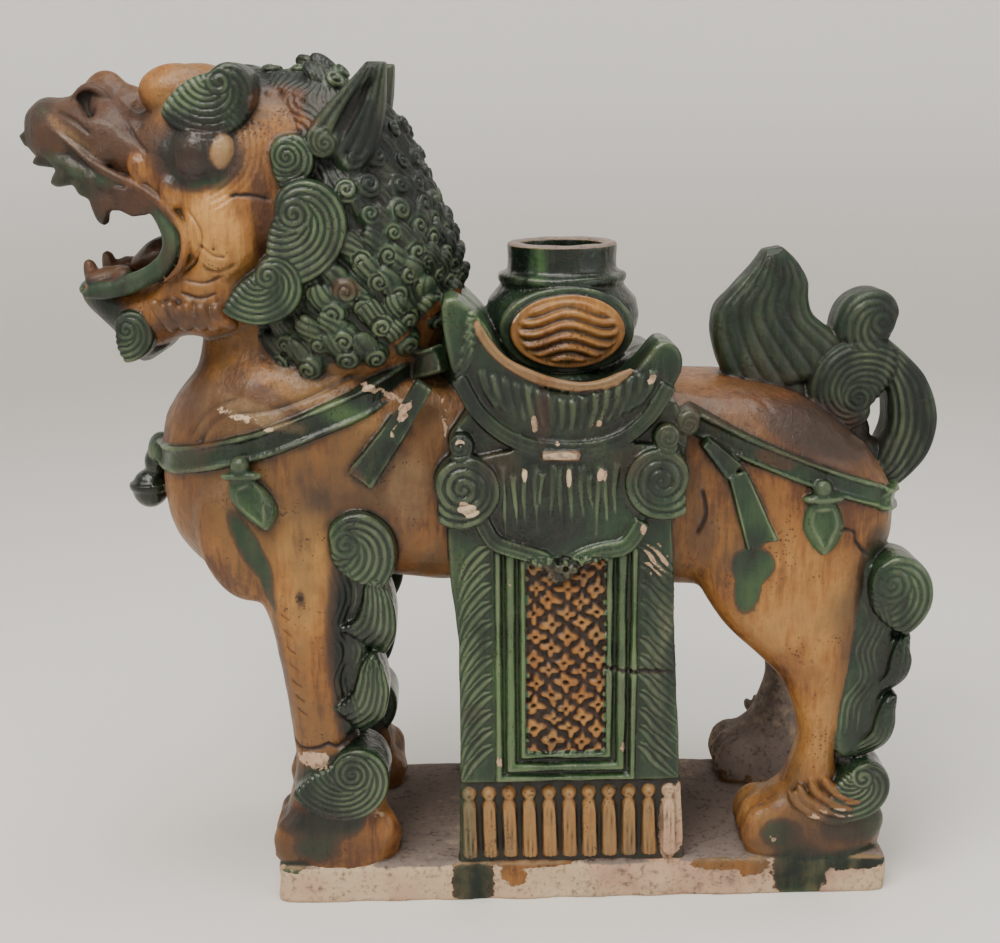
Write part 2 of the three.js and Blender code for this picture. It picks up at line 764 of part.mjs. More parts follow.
function tassels() {
  const made = [];
  const count = 11;
  const left = panelLeft + 3;
  const right = panelRight + 9;
  for (let place = 0; place < count; place += 1) {
    const x = between(left, right, (place + 0.5) / count);
    const half = ((right - left) / count) * 0.38;
    made.push(ridge(sidePath([[x, 84], [x, 75], [x + 1, fringeFoot]], clothDistance - 3), [
      [-half, -3], [0, 4.5], [half, -3],
    ]));
  }
  return made;
}

// A strap over the flanks and round the front or back of the body
function strap(points, bandHalf, turnX, turnZ) {
  const near = points.map(([x, z]) => [x, -flank(x, z), z]);
  const far = [...near].reverse().map(([x, y, z]) => [x, -y, z]);
  const course = [...near, [turnX, 0, turnZ], ...far];
  const path = course.map((at, step) => {
    const before = new THREE.Vector3(...course[Math.max(step - 1, 0)]);
    const after = new THREE.Vector3(...course[Math.min(step + 1, course.length - 1)]);
    const along = after.sub(before).normalize();
    const outward = new THREE.Vector3(along.y, -along.x, 0).normalize();
    if (outward.y * at[1] < 0 || (at[1] === 0 && outward.x * turnX < 0)) {
      outward.negate();
    }
    const side = outward.clone().cross(along);
    return { at, out: outward.toArray(), side: side.toArray() };
  });
  return ridge(path, [
    [-bandHalf, -9], [-bandHalf, 6], [-bandHalf + 3.5, 3.5], [bandHalf - 3.5, 3.5], [bandHalf, 6], [bandHalf, -9],
  ]);
}

function leafDrop([x, z], [tipX, tipZ], half, distance) {
  return loft([
    { middle: [x, -distance, z], across: [half * 0.4, 0, 0], up: [0, 8, 0] },
    { middle: [between(x, tipX, 0.35), -distance, between(z, tipZ, 0.35)], across: [half, 0, 0], up: [0, 10, 0] },
    { middle: [tipX, -distance, tipZ], across: [1.5, 0, 0], up: [0, 5, 0] },
  ], 6);
}

function harness() {
  const breastStrap = strap([
    [-112, 374], [-128, 364], [-156, 351], [-190, 336], [-222, 326], [-250, 318], [-272, 313], [-285, 311],
  ], 8.5, -291.5, 310);
  const crupper = strap([
    [84, 319], [112, 311], [145, 301], [175, 290], [200, 279],
  ], 8, 218, 272);
  const bell = ellipsoid([-304, 0, 282], [13, 13, 14], 8, 6);
  const bellLink = ellipsoid([-299, 0, 303], [9, 12, 16], 6, 4);
  const tabs = [[[-128, 352], [-148, 299]], [[98, 304], [118, 256]]].map(([top, foot]) => ridge(
    sidePath([top, foot], 78), [[-9, -8], [-9, 3.5], [-6, 2], [6, 2], [9, 3.5], [9, -8]],
  ));
  const drops = bothSides([
    ...tabs,
    leafDrop([-233, 308], [-214, 268], 15, 68),
    ellipsoid([-238, -70, 313], [8, 7, 8], 6, 4),
    leafDrop([157, 288], [160, 249], 15, 78),
    ellipsoid([158, -80, 292], [9, 7, 8], 6, 4),
  ]);
  return [breastStrap, crupper, bell, bellLink, ...drops];
}

// Vase

const vaseX = -12;
// The drawn height that the vase's own heights are counted from, a little under the top of the seat
const drawnVaseFoot = 360;

function lathe(profile) {
  const geometry = new THREE.LatheGeometry(profile.map(([radius, height]) => new THREE.Vector2(radius, height)),
    vaseSegments);
  geometry.rotateX(Math.PI / 2);
  return geometry;
}

function vase() {
  const neckFoot = vaseHeight - vaseNeckHeight;
  const belly = neckFoot * 0.6;
  const outside = lathe([
    [0, -vaseFootSunk], [vaseFootRadius + 11, -vaseFootSunk], [vaseFootRadius + 13, 4], [vaseFootRadius, 9],
    [vaseBodyRadius, belly], [vaseCollarRadius - 2, neckFoot - 8], [vaseCollarRadius, neckFoot - 5],
    [vaseCollarRadius, neckFoot], [vaseNeckRadius, neckFoot + 1], [vaseNeckRadius, vaseHeight], [0, vaseHeight],
  ]);
  const socket = vaseNeckRadius - vaseWall;
  const inside = lathe([
    [0, vaseFloor], [between(socket, vaseBodyRadius - vaseWall, 0.3), vaseFloor], [vaseBodyRadius - vaseWall, belly],
    [socket, neckFoot - 6], [socket, vaseHeight + 5], [0, vaseHeight + 5],
  ]);
  const medallion = ellipsoid([0, -vaseBodyRadius * 0.72, belly - 3], [38, 19, 25], 10, 4);
  const waves = [-12, -1, 10].map((rise) => {
    const reach = Math.sqrt(1 - (rise / 24) ** 2) * 32;
    const swell = (x) => rise + 3.5 * Math.cos(x / 11);
    const curve = (x) => vaseBodyRadius * 0.72 + 19 * Math.sqrt(Math.max(1 - (x / 38) ** 2 - (rise / 25) ** 2, 0.05));
    return ridge(sidePath([-1, -0.6, -0.2, 0.2, 0.6, 1].map((share) => {
      const x = share * reach;
      return [x, belly - 3 + swell(x)];
    }), (x) => curve(x) - 1), [[-2.6, -4], [0, 3], [2.6, -4]]);
  });
  return { outside: joined([outside, ...waves, ...bothSides([medallion])]), inside: solid(inside) };
}

// Slab

function slab() {
  const [halfLength, halfDepth] = [slabLength / 2, slabDepth / 2];
  const corners = [];
  for (const [signX, signY, start] of [[1, 1, 0], [-1, 1, 90], [-1, -1, 180], [1, -1, 270]]) {
    for (const degrees of [0, 45, 90]) {
      const angle = THREE.MathUtils.degToRad(start + degrees);
      corners.push(new THREE.Vector2(
        signX * (halfLength - slabCorner) + slabCorner * Math.cos(angle),
        signY * (halfDepth - slabCorner) + slabCorner * Math.sin(angle),
      ));
    }
  }
  return new THREE.ExtrudeGeometry(new THREE.Shape(corners), { depth: slabHeight, bevelEnabled: false });
}

// The whole lion

function placed(form, scale, offset) {
  const mesh = form.getMesh();
  const geometry = new THREE.BufferGeometry();
  geometry.setAttribute('position', new THREE.BufferAttribute(new Float32Array(mesh.vertProperties), 3));
  geometry.setIndex(new THREE.BufferAttribute(new Uint32Array(mesh.triVerts), 1));
  geometry.scale(scale, scale, scale);
  geometry.translate(...offset);
  return geometry;
}

function ridgeLion() {
  const { sheet, eyelet } = tail();
  const figure = joined([
    ...body(), ...head(), ...curls(), ...bothSides([...frontLeg(), ...hindLeg()]),
    ...sheet, ...saddle(), ...shortCloth(), ...longCloth(), ...harness(),
  ]).subtract(solid(eyelet));
  const heightOf = (drawn) => slabHeight + (drawn - drawnSlabTop) * grow;
  const standing = solid(placed(figure, grow, [0, 0, heightOf(0)]));
  const vessel = vase();
  const seat = [vaseX * grow, 0, heightOf(drawnVaseFoot)];
  const whole = standing
    .add(solid(slab()))
    .add(solid(placed(vessel.outside, 1, seat)))
    .subtract(solid(placed(vessel.inside, 1, seat)));
  return placed(lightened(whole), 1, [0, 0, 0]);
}

const glaze = new THREE.MeshStandardMaterial({ color: glazeGreen, roughness: 0.3, metalness: 0 });
const lion = new THREE.Mesh(ridgeLion(), glaze);
lion.name = 'ridge_lion';
const ornament = new THREE.Group();
ornament.add(lion);

export default ornament;
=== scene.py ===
"""The looks of a glazed roof-ridge lion: one fused skin of many forms, with carving and worn glazes.

Forms are drawn in millimetres in the lion's frame: it faces -X, its near side is -Y and Z is up.
"""

import math

import bmesh
import bpy
import numpy as np
from mathutils import Matrix, Vector
from mathutils.bvhtree import BVHTree
from mathutils.kdtree import KDTree


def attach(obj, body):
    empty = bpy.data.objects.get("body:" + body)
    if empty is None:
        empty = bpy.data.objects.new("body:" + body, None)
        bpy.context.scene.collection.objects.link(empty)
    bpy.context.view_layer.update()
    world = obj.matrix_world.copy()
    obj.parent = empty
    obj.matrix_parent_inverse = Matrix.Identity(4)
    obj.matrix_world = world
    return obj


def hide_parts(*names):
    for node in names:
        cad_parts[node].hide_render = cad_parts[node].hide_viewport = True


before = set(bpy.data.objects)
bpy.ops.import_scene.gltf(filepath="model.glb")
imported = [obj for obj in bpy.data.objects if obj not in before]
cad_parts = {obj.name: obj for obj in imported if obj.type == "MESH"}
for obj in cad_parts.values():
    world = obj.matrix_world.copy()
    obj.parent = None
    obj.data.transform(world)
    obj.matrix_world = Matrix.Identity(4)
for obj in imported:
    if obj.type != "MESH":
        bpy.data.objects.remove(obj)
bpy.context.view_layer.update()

MM = 0.001
NODE = "ridge_lion"
FINEST_PITCH = 1.1
SKIN_PITCH = FINEST_PITCH
FLESH_PITCH = 3.0
TRIANGLES_IN_ALL = 900_000
# How deep the carving reaches into the skin from a form's outer face
CARVING_REACH = 14

# Zones: how each form is glazed at first. Values are green, tone, brown, bare, grey, gloss.
ZONES = {
    "flesh": (0.0, 0.45, 0.34, 0.0, 0.0, 0.45), "face": (0.0, 0.42, 0.3, 0.0, 0.0, 0.4),
    "muzzle": (0.0, 0.3, 0.95, 0.0, 0.0, 0.35), 
    "bump": (0.0, 0.5, 0.2, 0.0, 0.0, 0.6), "rim_of_lip": (0.0, 0.4, 0.9, 0.0, 0.0, 0.4),
    "lip": (1.0, 0.4, 0.1, 0.0, 0.0, 0.4), "tooth": (0.85, 0.15, 0.4, 0.0, 0.1, 0.4),
    "tongue": (0.3, 0.0, 0.9, 0.0, 0.0, 0.5), "eye": (1.0, -0.2, 0.8, 0.0, 0.0, 0.6),
    "lid": (0.0, 0.7, 0.35, 0.0, 0.7, 0.4), "brow": (1.0, 0.12, 0.05, 0.0, 0.1, 0.5),
    "temple": (0.9, 0.3, 0.15, 0.0, 0.0, 0.6), "whorl": (1.0, 0.3, 0.03, 0.0, 0.0, 0.55),
    "beard": (0.2, 0.3, 0.5, 0.0, 0.0, 0.6), "mane": (1.0, 0.08, 0.28, 0.0, 0.1, 0.35),
    "curl": (1.0, 0.28, 0.12, 0.0, 0.1, 0.45), "ear": (1.0, 0.2, 0.3, 0.0, 0.0, 0.25),
    "fringe": (1.0, 0.38, 0.05, 0.0, 0.0, 0.8), "tail": (1.0, 0.16, 0.15, 0.0, 0.08, 0.35),
    "strap": (1.0, 0.75, -0.1, 0.0, 0.0, 0.6), "bell": (1.0, 0.05, 0.1, 0.0, 0.0, 0.9),
    "saddle": (1.0, 0.6, -0.15, 0.0, 0.0, 0.6), "arc": (0.2, 0.9, 0.3, 0.15, 0.6, 0.4),
    "short_cloth": (1.0, 0.55, -0.2, 0.0, 0.0, 0.7), "panel": (1.0, 0.45, 0.18, 0.0, 0.0, 0.55),
    "rail": (1.0, 0.62, 0.05, 0.0, 0.0, 0.8), "field": (0.0, 0.5, 0.5, 0.0, 0.3, 0.4),
    "tassel": (0.0, 0.8, 0.3, 0.2, 0.6, 0.3), "tassel_ground": (0.75, 0.15, 0.5, 0.0, 0.0, 0.5),
    "vase": (1.0, 0.16, 0.1, 0.0, 0.0, 0.75), "medallion": (1.0, 0.3, 0.2, 0.0, 0.0, 0.6),
    "slab": (0.0, 0.5, 0.0, 1.0, 0.3, 0.15),
}
ZONE_NAMES = list(ZONES)
MASKS = ("green", "tone", "brown", "bare", "grey", "gloss")


# Forms: each is a list of corners and a list of faces, and "forms" holds the zone with it

forms = []


def add(zone, *made):
    for corners, faces in made:
        forms.append((zone, np.asarray(corners, float), faces))


def flipped(form):
    corners, faces = form
    return corners * np.array([1.0, -1.0, 1.0]), [face[::-1] for face in faces]


def add_both(zone, *made):
    for form in made:
        add(zone, form, flipped(form))


def smooth_rows(rows, steps=6, closed=False):
    """A smooth line through rows of numbers."""
    rows = np.asarray(rows, float)
    if closed:
        a, b, c, d = (np.roll(rows, shift, axis=0) for shift in (1, 0, -1, -2))
    else:
        padded = np.vstack([2 * rows[0] - rows[1], rows, 2 * rows[-1] - rows[-2]])
        a, b, c, d = padded[:-3], padded[1:-2], padded[2:-1], padded[3:]
    a, b, c, d = (part[:, None, :] for part in (a, b, c, d))
    t = (np.arange(steps) / steps)[None, :, None]
    line = 0.5 * (2 * b + (c - a) * t + (2 * a - 5 * b + 4 * c - d) * t**2 + (3 * b - a - 3 * c + d) * t**3)
    line = line.reshape(-1, rows.shape[1])
    return line if closed else np.vstack([line, rows[-1]])


def skin(rings):
    """A closed form through rings of corners."""
    count, sides, _ = rings.shape
    start = np.arange(count - 1)[:, None] * sides
    here = np.arange(sides)[None, :]
    after = (here + 1) % sides
    quads = np.stack([start + here, start + after, start + sides + after, start + sides + here], -1)
    first = list(range(sides))[::-1]
    last = [(count - 1) * sides + side for side in range(sides)]
    return rings.reshape(-1, 3), quads.reshape(-1, 4).tolist() + [first, last]


def loft(middle, across, up, sides=40, power=2.0):
    """Rings of a middle and two half-size vectors; power squares them off."""
    turn = 2 * np.pi * (np.arange(sides) + 0.5) / sides
    c, s = (np.sign(f) * np.abs(f) ** (2 / power) for f in (np.cos(turn), np.sin(turn)))
    middle, across, up = (np.asarray(part, float)[:, None, :] for part in (middle, across, up))
    return skin(middle + across * c[None, :, None] + up * s[None, :, None])


def vectors(x=0, y=0, z=0):
    return np.column_stack(np.broadcast_arrays(x, y, z)).astype(float)


def loft_along_x(rows, sides=56, power=2.0, steps=6):
    """Rings across X from rows of x, bottom, top and half width."""
    x, bottom, top, half = smooth_rows(rows, steps).T
    return loft(vectors(x, 0 * x, (bottom + top) / 2), vectors(0 * x, half),
                vectors(0 * x, 0, (top - bottom) / 2),
                sides, power)


def loft_up(rows, sides=44, power=2.0, steps=6):
    """Level rings from rows of z, front, back, and the inner and outer distance from the middle plane."""
    z, front, back, inner, outer = smooth_rows(rows, steps).T
    return loft(vectors((front + back) / 2, -(inner + outer) / 2, z), vectors((back - front) / 2),
                vectors(0 * z, (outer - inner) / 2), sides, power)


def egg(middle, length, width, height, sides=24, rows=14):
    """An ellipsoid of three half-size vectors."""
    rise = np.linspace(-1.52, 1.52, rows)
    return loft(np.asarray(middle) + np.outer(np.sin(rise), length), np.outer(np.cos(rise), width),
                np.outer(np.cos(rise), height), sides)


def ellipsoid(middle, half, tilt=0.0, sides=24, rows=14):
    """An ellipsoid; tilt turns it in the side view, in degrees."""
    c, s = math.cos(math.radians(tilt)), math.sin(math.radians(tilt))
    return egg(middle, [-half[2] * s, 0, half[2] * c], [half[0] * c, 0, half[0] * s], [0, half[1], 0],
               sides, rows)


def plate(outline, inner, outer, edge=3.0, steps=1):
    """A plate of an x, z outline between two distances from the middle plane, with rounded edges."""
    line = smooth_rows(outline, steps, closed=True) if steps > 1 else np.asarray(outline, float)
    curve = bpy.data.curves.new("plate", "CURVE")
    curve.dimensions = "2D"
    curve.fill_mode = "BOTH"
    curve.extrude = (outer - inner) / 2 - edge
    curve.bevel_depth = edge
    curve.bevel_resolution = 2
    curve.offset = -edge
    spline = curve.splines.new("POLY")
    spline.points.add(len(line) - 1)
    for point, (x, z) in zip(spline.points, line):
        point.co = (x, z, 0, 1)
    spline.use_cyclic_u = True
    holder = bpy.data.objects.new("plate", curve)
    mesh = bpy.data.meshes.new_from_object(holder)
    flat = np.array([vertex.co for vertex in mesh.vertices]).reshape(-1, 3)
    faces = [list(polygon.vertices) for polygon in mesh.polygons]
    bpy.data.objects.remove(holder)
    bpy.data.curves.remove(curve)
    bpy.data.meshes.remove(mesh)
    return np.column_stack([flat[:, 0], -((inner + outer) / 2 + flat[:, 2]), flat[:, 1]]), faces


def course(points, distance, steps=6):
    """A smooth path over the near side: places and sideways vectors."""
    line = smooth_rows(points, steps)
    away = distance(line[:, 0], line[:, 1]) if callable(distance) else np.full(len(line), float(distance))
    along = np.gradient(line, axis=0)
    along /= np.linalg.norm(along, axis=1, keepdims=True)
    return vectors(line[:, 0], -away, line[:, 1]), vectors(-along[:, 1], 0, along[:, 0])


def lock(points, distance, half, rise, steps=6, sides=16, start=0.35, end=0.35):
    """A rounded ridge along x, z points on the near side, thinner at its two ends."""
    places, side = course(points, distance, steps)
    share = np.linspace(0, 1, len(places))
    size = np.minimum(1, np.minimum(start + share * 6, end + (1 - share) * 6))[:, None]
    return loft(places, side * half * size, vectors(0 * share, -rise * size[:, 0]), sides)


def sweep(places, side, out, profile, size=1.0):
    """A moulding: a closed profile of sideways and outward distances along a path."""
    profile = np.asarray(profile, float)
    size = np.broadcast_to(size, len(places))[:, None, None]
    rings = (places[:, None, :] + side[:, None, :] * profile[None, :, :1] * size
             + out[:, None, :] * profile[None, :, 1:] * size)
    return skin(rings)


def lathe(profile, middle, sides=72, steps=1):
    """A form turned round the vertical, from a radius and height profile that ends at the axis."""
    line = smooth_rows(profile, steps) if steps > 1 else np.asarray(profile, float)
    turn = 2 * np.pi * np.arange(sides) / sides
    radius, height = np.maximum(line[:, 0], 0.02), line[:, 1]
    rings = np.stack(np.broadcast_arrays(
        middle[0] + radius[:, None] * np.cos(turn), middle[1] + radius[:, None] * np.sin(turn),
        middle[2] + height[:, None]), -1)
    return skin(rings)


def turned_line(eye, start, turns, first, last, power):
    """The rim of a whorl: it runs clockwise in the side view, and away from the eye."""
    turn = np.linspace(0, 1, 60)[:-1]
    reach = rim_of_whorl(turn, turns, first, last, power)
    angle = math.radians(start) - 2 * np.pi * turn
    return np.column_stack([eye[0] + reach * np.cos(angle), eye[1] + reach * np.sin(angle)])


def rim_of_whorl(turn, turns, first, last, power):
    opened = first + (last - first) * (turn / turns) ** power
    closed = first + (last - first) * (1 - np.clip((turn - turns) / (1 - turns), 0, 1)) ** 2.2
    return np.where(turn < turns, opened, closed)


carving = []


def add_whorl(zone, eye, start, turns, first, last, strands, inner, outer, power=1.4, depth=1.5, edge=4.0,
              flip=False):
    """A comma-shaped lock of hair that winds out of its eye; flip turns it the other way round."""
    line = turned_line(eye, start, turns, first, last, power)
    if flip:
        line[:, 0] = 2 * eye[0] - line[:, 0]
    form = plate(line, inner, outer, edge)
    add(zone, form, flipped(form)) if inner > 0 else add(zone, form)
    carving.append((whorl, (eye, start, turns, first, last, strands, depth,
                            max(inner, outer - CARVING_REACH), power, flip)))


def add_blade(zone, left, right, strands, inner, outer, depth=1.3, edge=4.0, dome=1.5, sink=0.0):
    """A flat lock between two lines, combed along them; its lower end sinks into the form below it."""
    form = plate(np.vstack([smooth_rows(left, 5), smooth_rows(right, 5)[::-1]]), inner, outer, edge)
    low, high = form[0][:, 2].min(), form[0][:, 2].max()
    form[0][:, 1] += sink * step(0.55, 1.0, (high - form[0][:, 2]) / (high - low))
    add(zone, form, flipped(form)) if inner > 0 else add(zone, form)
    carving.append((blade, (left, right, strands, depth, max(inner, outer - CARVING_REACH), True, dome)))


def band(line, half):
    """The two sides of a band along a line."""
    line = np.asarray(line, float)
    along = np.gradient(line, axis=0)
    along /= np.linalg.norm(along, axis=1, keepdims=True)
    aside = np.column_stack([-along[:, 1], along[:, 0]]) * np.broadcast_to(half, len(line))[:, None]
    return line - aside, line + aside


def comb(line, half, strands, depth, inner, both=True):
    """Combs a band of skin along a line; no strands makes one ridge, or a groove at a negative depth."""
    carving.append((blade, (*band(line, half), strands, depth, inner, both, 0.0)))


def reading(rows, at, column):
    """Reads a column of rows at a value of their first column."""
    rows = np.asarray(rows, float)
    rows = rows[np.argsort(rows[:, 0])]
    return np.interp(at, rows[:, 0], rows[:, column])


# Body, neck and mane

TORSO = [
    [-291, 278, 324, 14], [-285, 258, 342, 36], [-271, 240, 362, 53], [-246, 222, 384, 67],
    [-204, 212, 398, 77],
    [-150, 224, 388, 78], [-95, 220, 372, 74], [-20, 218, 361, 71], [60, 214, 361, 73], [108, 212, 359, 78],
    [155, 214, 346, 80], [190, 224, 320, 75], [208, 236, 300, 61], [217, 250, 282, 36],
]
TORSO_POWER = 3.0
# z, front, back and half width
MANE = [
    [360, -214, -112, 56], [378, -226, -94, 66], [402, -224, -86, 71], [432, -218, -88, 73],
    [462, -212, -95, 71],
    [492, -208, -105, 66], [516, -208, -115, 60], [538, -210, -128, 52], [556, -214, -146, 40],
    [565, -212, -166, 24],
]


def flank(x, z):
    """The distance of the flank from the middle plane."""
    bottom, top, half = (reading(TORSO, x, column) for column in (1, 2, 3))
    height = np.minimum(np.abs((z - (bottom + top) / 2) / ((top - bottom) / 2)), 0.995)
    return half * (1 - height**TORSO_POWER) ** (1 / TORSO_POWER)


def mane_surface(z, turn):
    front, back, half = (reading(MANE, z, column) for column in (1, 2, 3))
    return np.array([(front + back) / 2 + (back - front) / 2 * math.cos(turn), -half * math.sin(turn), z])


def front_leg():
    return loft_up([
        [290, -246, -120, 10, 74], [262, -235, -134, 24, 79], [221, -222, -150, 30, 81],
        [190, -213, -157, 34, 81],
        [142, -206, -160, 37, 80], [115, -203, -158, 38, 79], [96, -202, -148, 36, 81],
        [68, -208, -140, 32, 83],
        [20, -214, -134, 30, 83],
    ], power=2.3)


def hind_leg():
    return loft_up([
        [318, 96, 196, 8, 72], [286, 84, 202, 18, 79], [250, 74, 204, 24, 81], [222, 80, 203, 26, 82],
        [197, 95, 199, 28, 80], [174, 118, 194, 30, 79], [150, 140, 187, 34, 78], [115, 152, 179, 38, 77],
        [94, 148, 178, 38, 78], [68, 139, 186, 34, 81], [20, 128, 200, 30, 83],
    ], power=2.3)


def paw(front, back, inner, outer):
    """A paw on the slab, with three toes at its front and one behind."""
    middle, length = (inner + outer) / 2, back - front
    pad = loft_up([
        [20, front + 4, back - 6, inner, outer], [42, front + 2, back, inner - 2, outer],
        [60, front + 10, back - 20, inner + 2, outer - 1],
        [73, front + 24, back - 34, inner + 10, outer - 9],
    ], power=2.6)
    toe_half = (outer - inner) / 6
    toes = [ellipsoid([front + length * 0.14, -(middle + place * (2 * toe_half + 0.5)), 44],
                      [length * 0.17, toe_half + 0.6, 21]) for place in (-1, 0, 1)]
    claws = [ellipsoid([front + length * 0.015 + 2.5, -(middle + place * (2 * toe_half + 0.5)), 34],
                       [6, 4, 8])
             for place in (-1, 0, 1)]
    rear_toe = ellipsoid([back - length * 0.15, -(outer - 13), 50], [length * 0.14, 12, 17])
    return [pad, rear_toe, *toes, *claws]


def make_flesh():
    """The soft masses, melted together before the crisp forms go on."""
    masses = [
        loft_along_x(TORSO, power=TORSO_POWER),
        loft_up([[318, -272, -110, -62, 62], [345, -276, -104, -64, 64], [366, -266, -100, -61, 61],
                 [390, -260, -100, -56, 56], [430, -255, -110, -52, 52]], 60, 2.2),
        ellipsoid([-232, -62, 262], [30, 17, 46], 12),
        ellipsoid([-232, 62, 262], [30, 17, 46], 12),
        ellipsoid([132, -66, 252], [52, 18, 50], -30),
        ellipsoid([132, 66, 252], [52, 18, 50], -30),
    ]
    for form in [front_leg(), hind_leg(), *paw(-217, -129, 30, 83), *paw(113, 215, 30, 83)]:
        masses += [form, flipped(form)]
    return melted(masses, FLESH_PITCH, 7)


# Face

# x and half width of the muzzle at the lips
MUZZLE = [[-365, 14], [-352, 27], [-336, 36], [-318, 42], [-298, 46], [-282, 50], [-262, 57]]


def make_head():
    """The skull, the open jaws and the brows, melted together."""
    upper = loft_along_x([
        [-369, 518, 543, 15], [-358, 508, 551, 29], [-344, 503, 551, 37], [-326, 499, 555, 42],
        [-306, 494, 553, 46],
        [-291, 486, 541, 50], [-279, 470, 548, 56], [-262, 448, 564, 60], [-236, 425, 570, 63],
        [-208, 420, 566, 63],
        [-180, 430, 560, 56],
    ], power=2.3)
    lower = loft_along_x([
        [-339, 416, 425, 14], [-332, 408, 435, 25], [-321, 398, 437, 34], [-303, 384, 433, 41],
        [-286, 386, 439, 47],
        [-268, 392, 462, 54], [-240, 388, 480, 59], [-206, 392, 480, 57],
    ], power=2.3)
    masses = [upper, lower, ellipsoid([-256, 0, 553], [30, 26, 20]),
              ellipsoid([-316, 0, 550], [16, 15, 19]),
              ellipsoid([-300, 0, 543], [22, 19, 16], -25)]
    masses += [ellipsoid([-321, 14 * side, 547], [15, 11, 15]) for side in (-1, 1)]
    masses += [ellipsoid([-264, 26 * side, 554], [25, 18, 19]) for side in (-1, 1)]
    masses += [ellipsoid([-234, 56 * side, 466], [25, 12, 32], 10) for side in (-1, 1)]
    return melted(masses, FLESH_PITCH * 0.7, 4)


def bent(form, rows):
    """A plate moved out by a distance that changes with x."""
    corners, faces = form
    away = reading(rows, corners[:, 0], 1)
    return corners - vectors(0 * away, away), faces


def tooth(foot, tip, half, distance):
    """A blunt tooth that hangs or stands from the lip."""
    share = np.array([-0.3, 0, 0.3, 0.6, 0.85, 1.0, 1.06])
    size = half * np.array([1.1, 1, 0.95, 0.84, 0.68, 0.45, 0.12])
    x, z = (foot[axis] + (tip[axis] - foot[axis]) * share for axis in (0, 1))
    return loft(vectors(x, -distance + 0 * x, z), vectors(size), vectors(0 * x, size), 16)


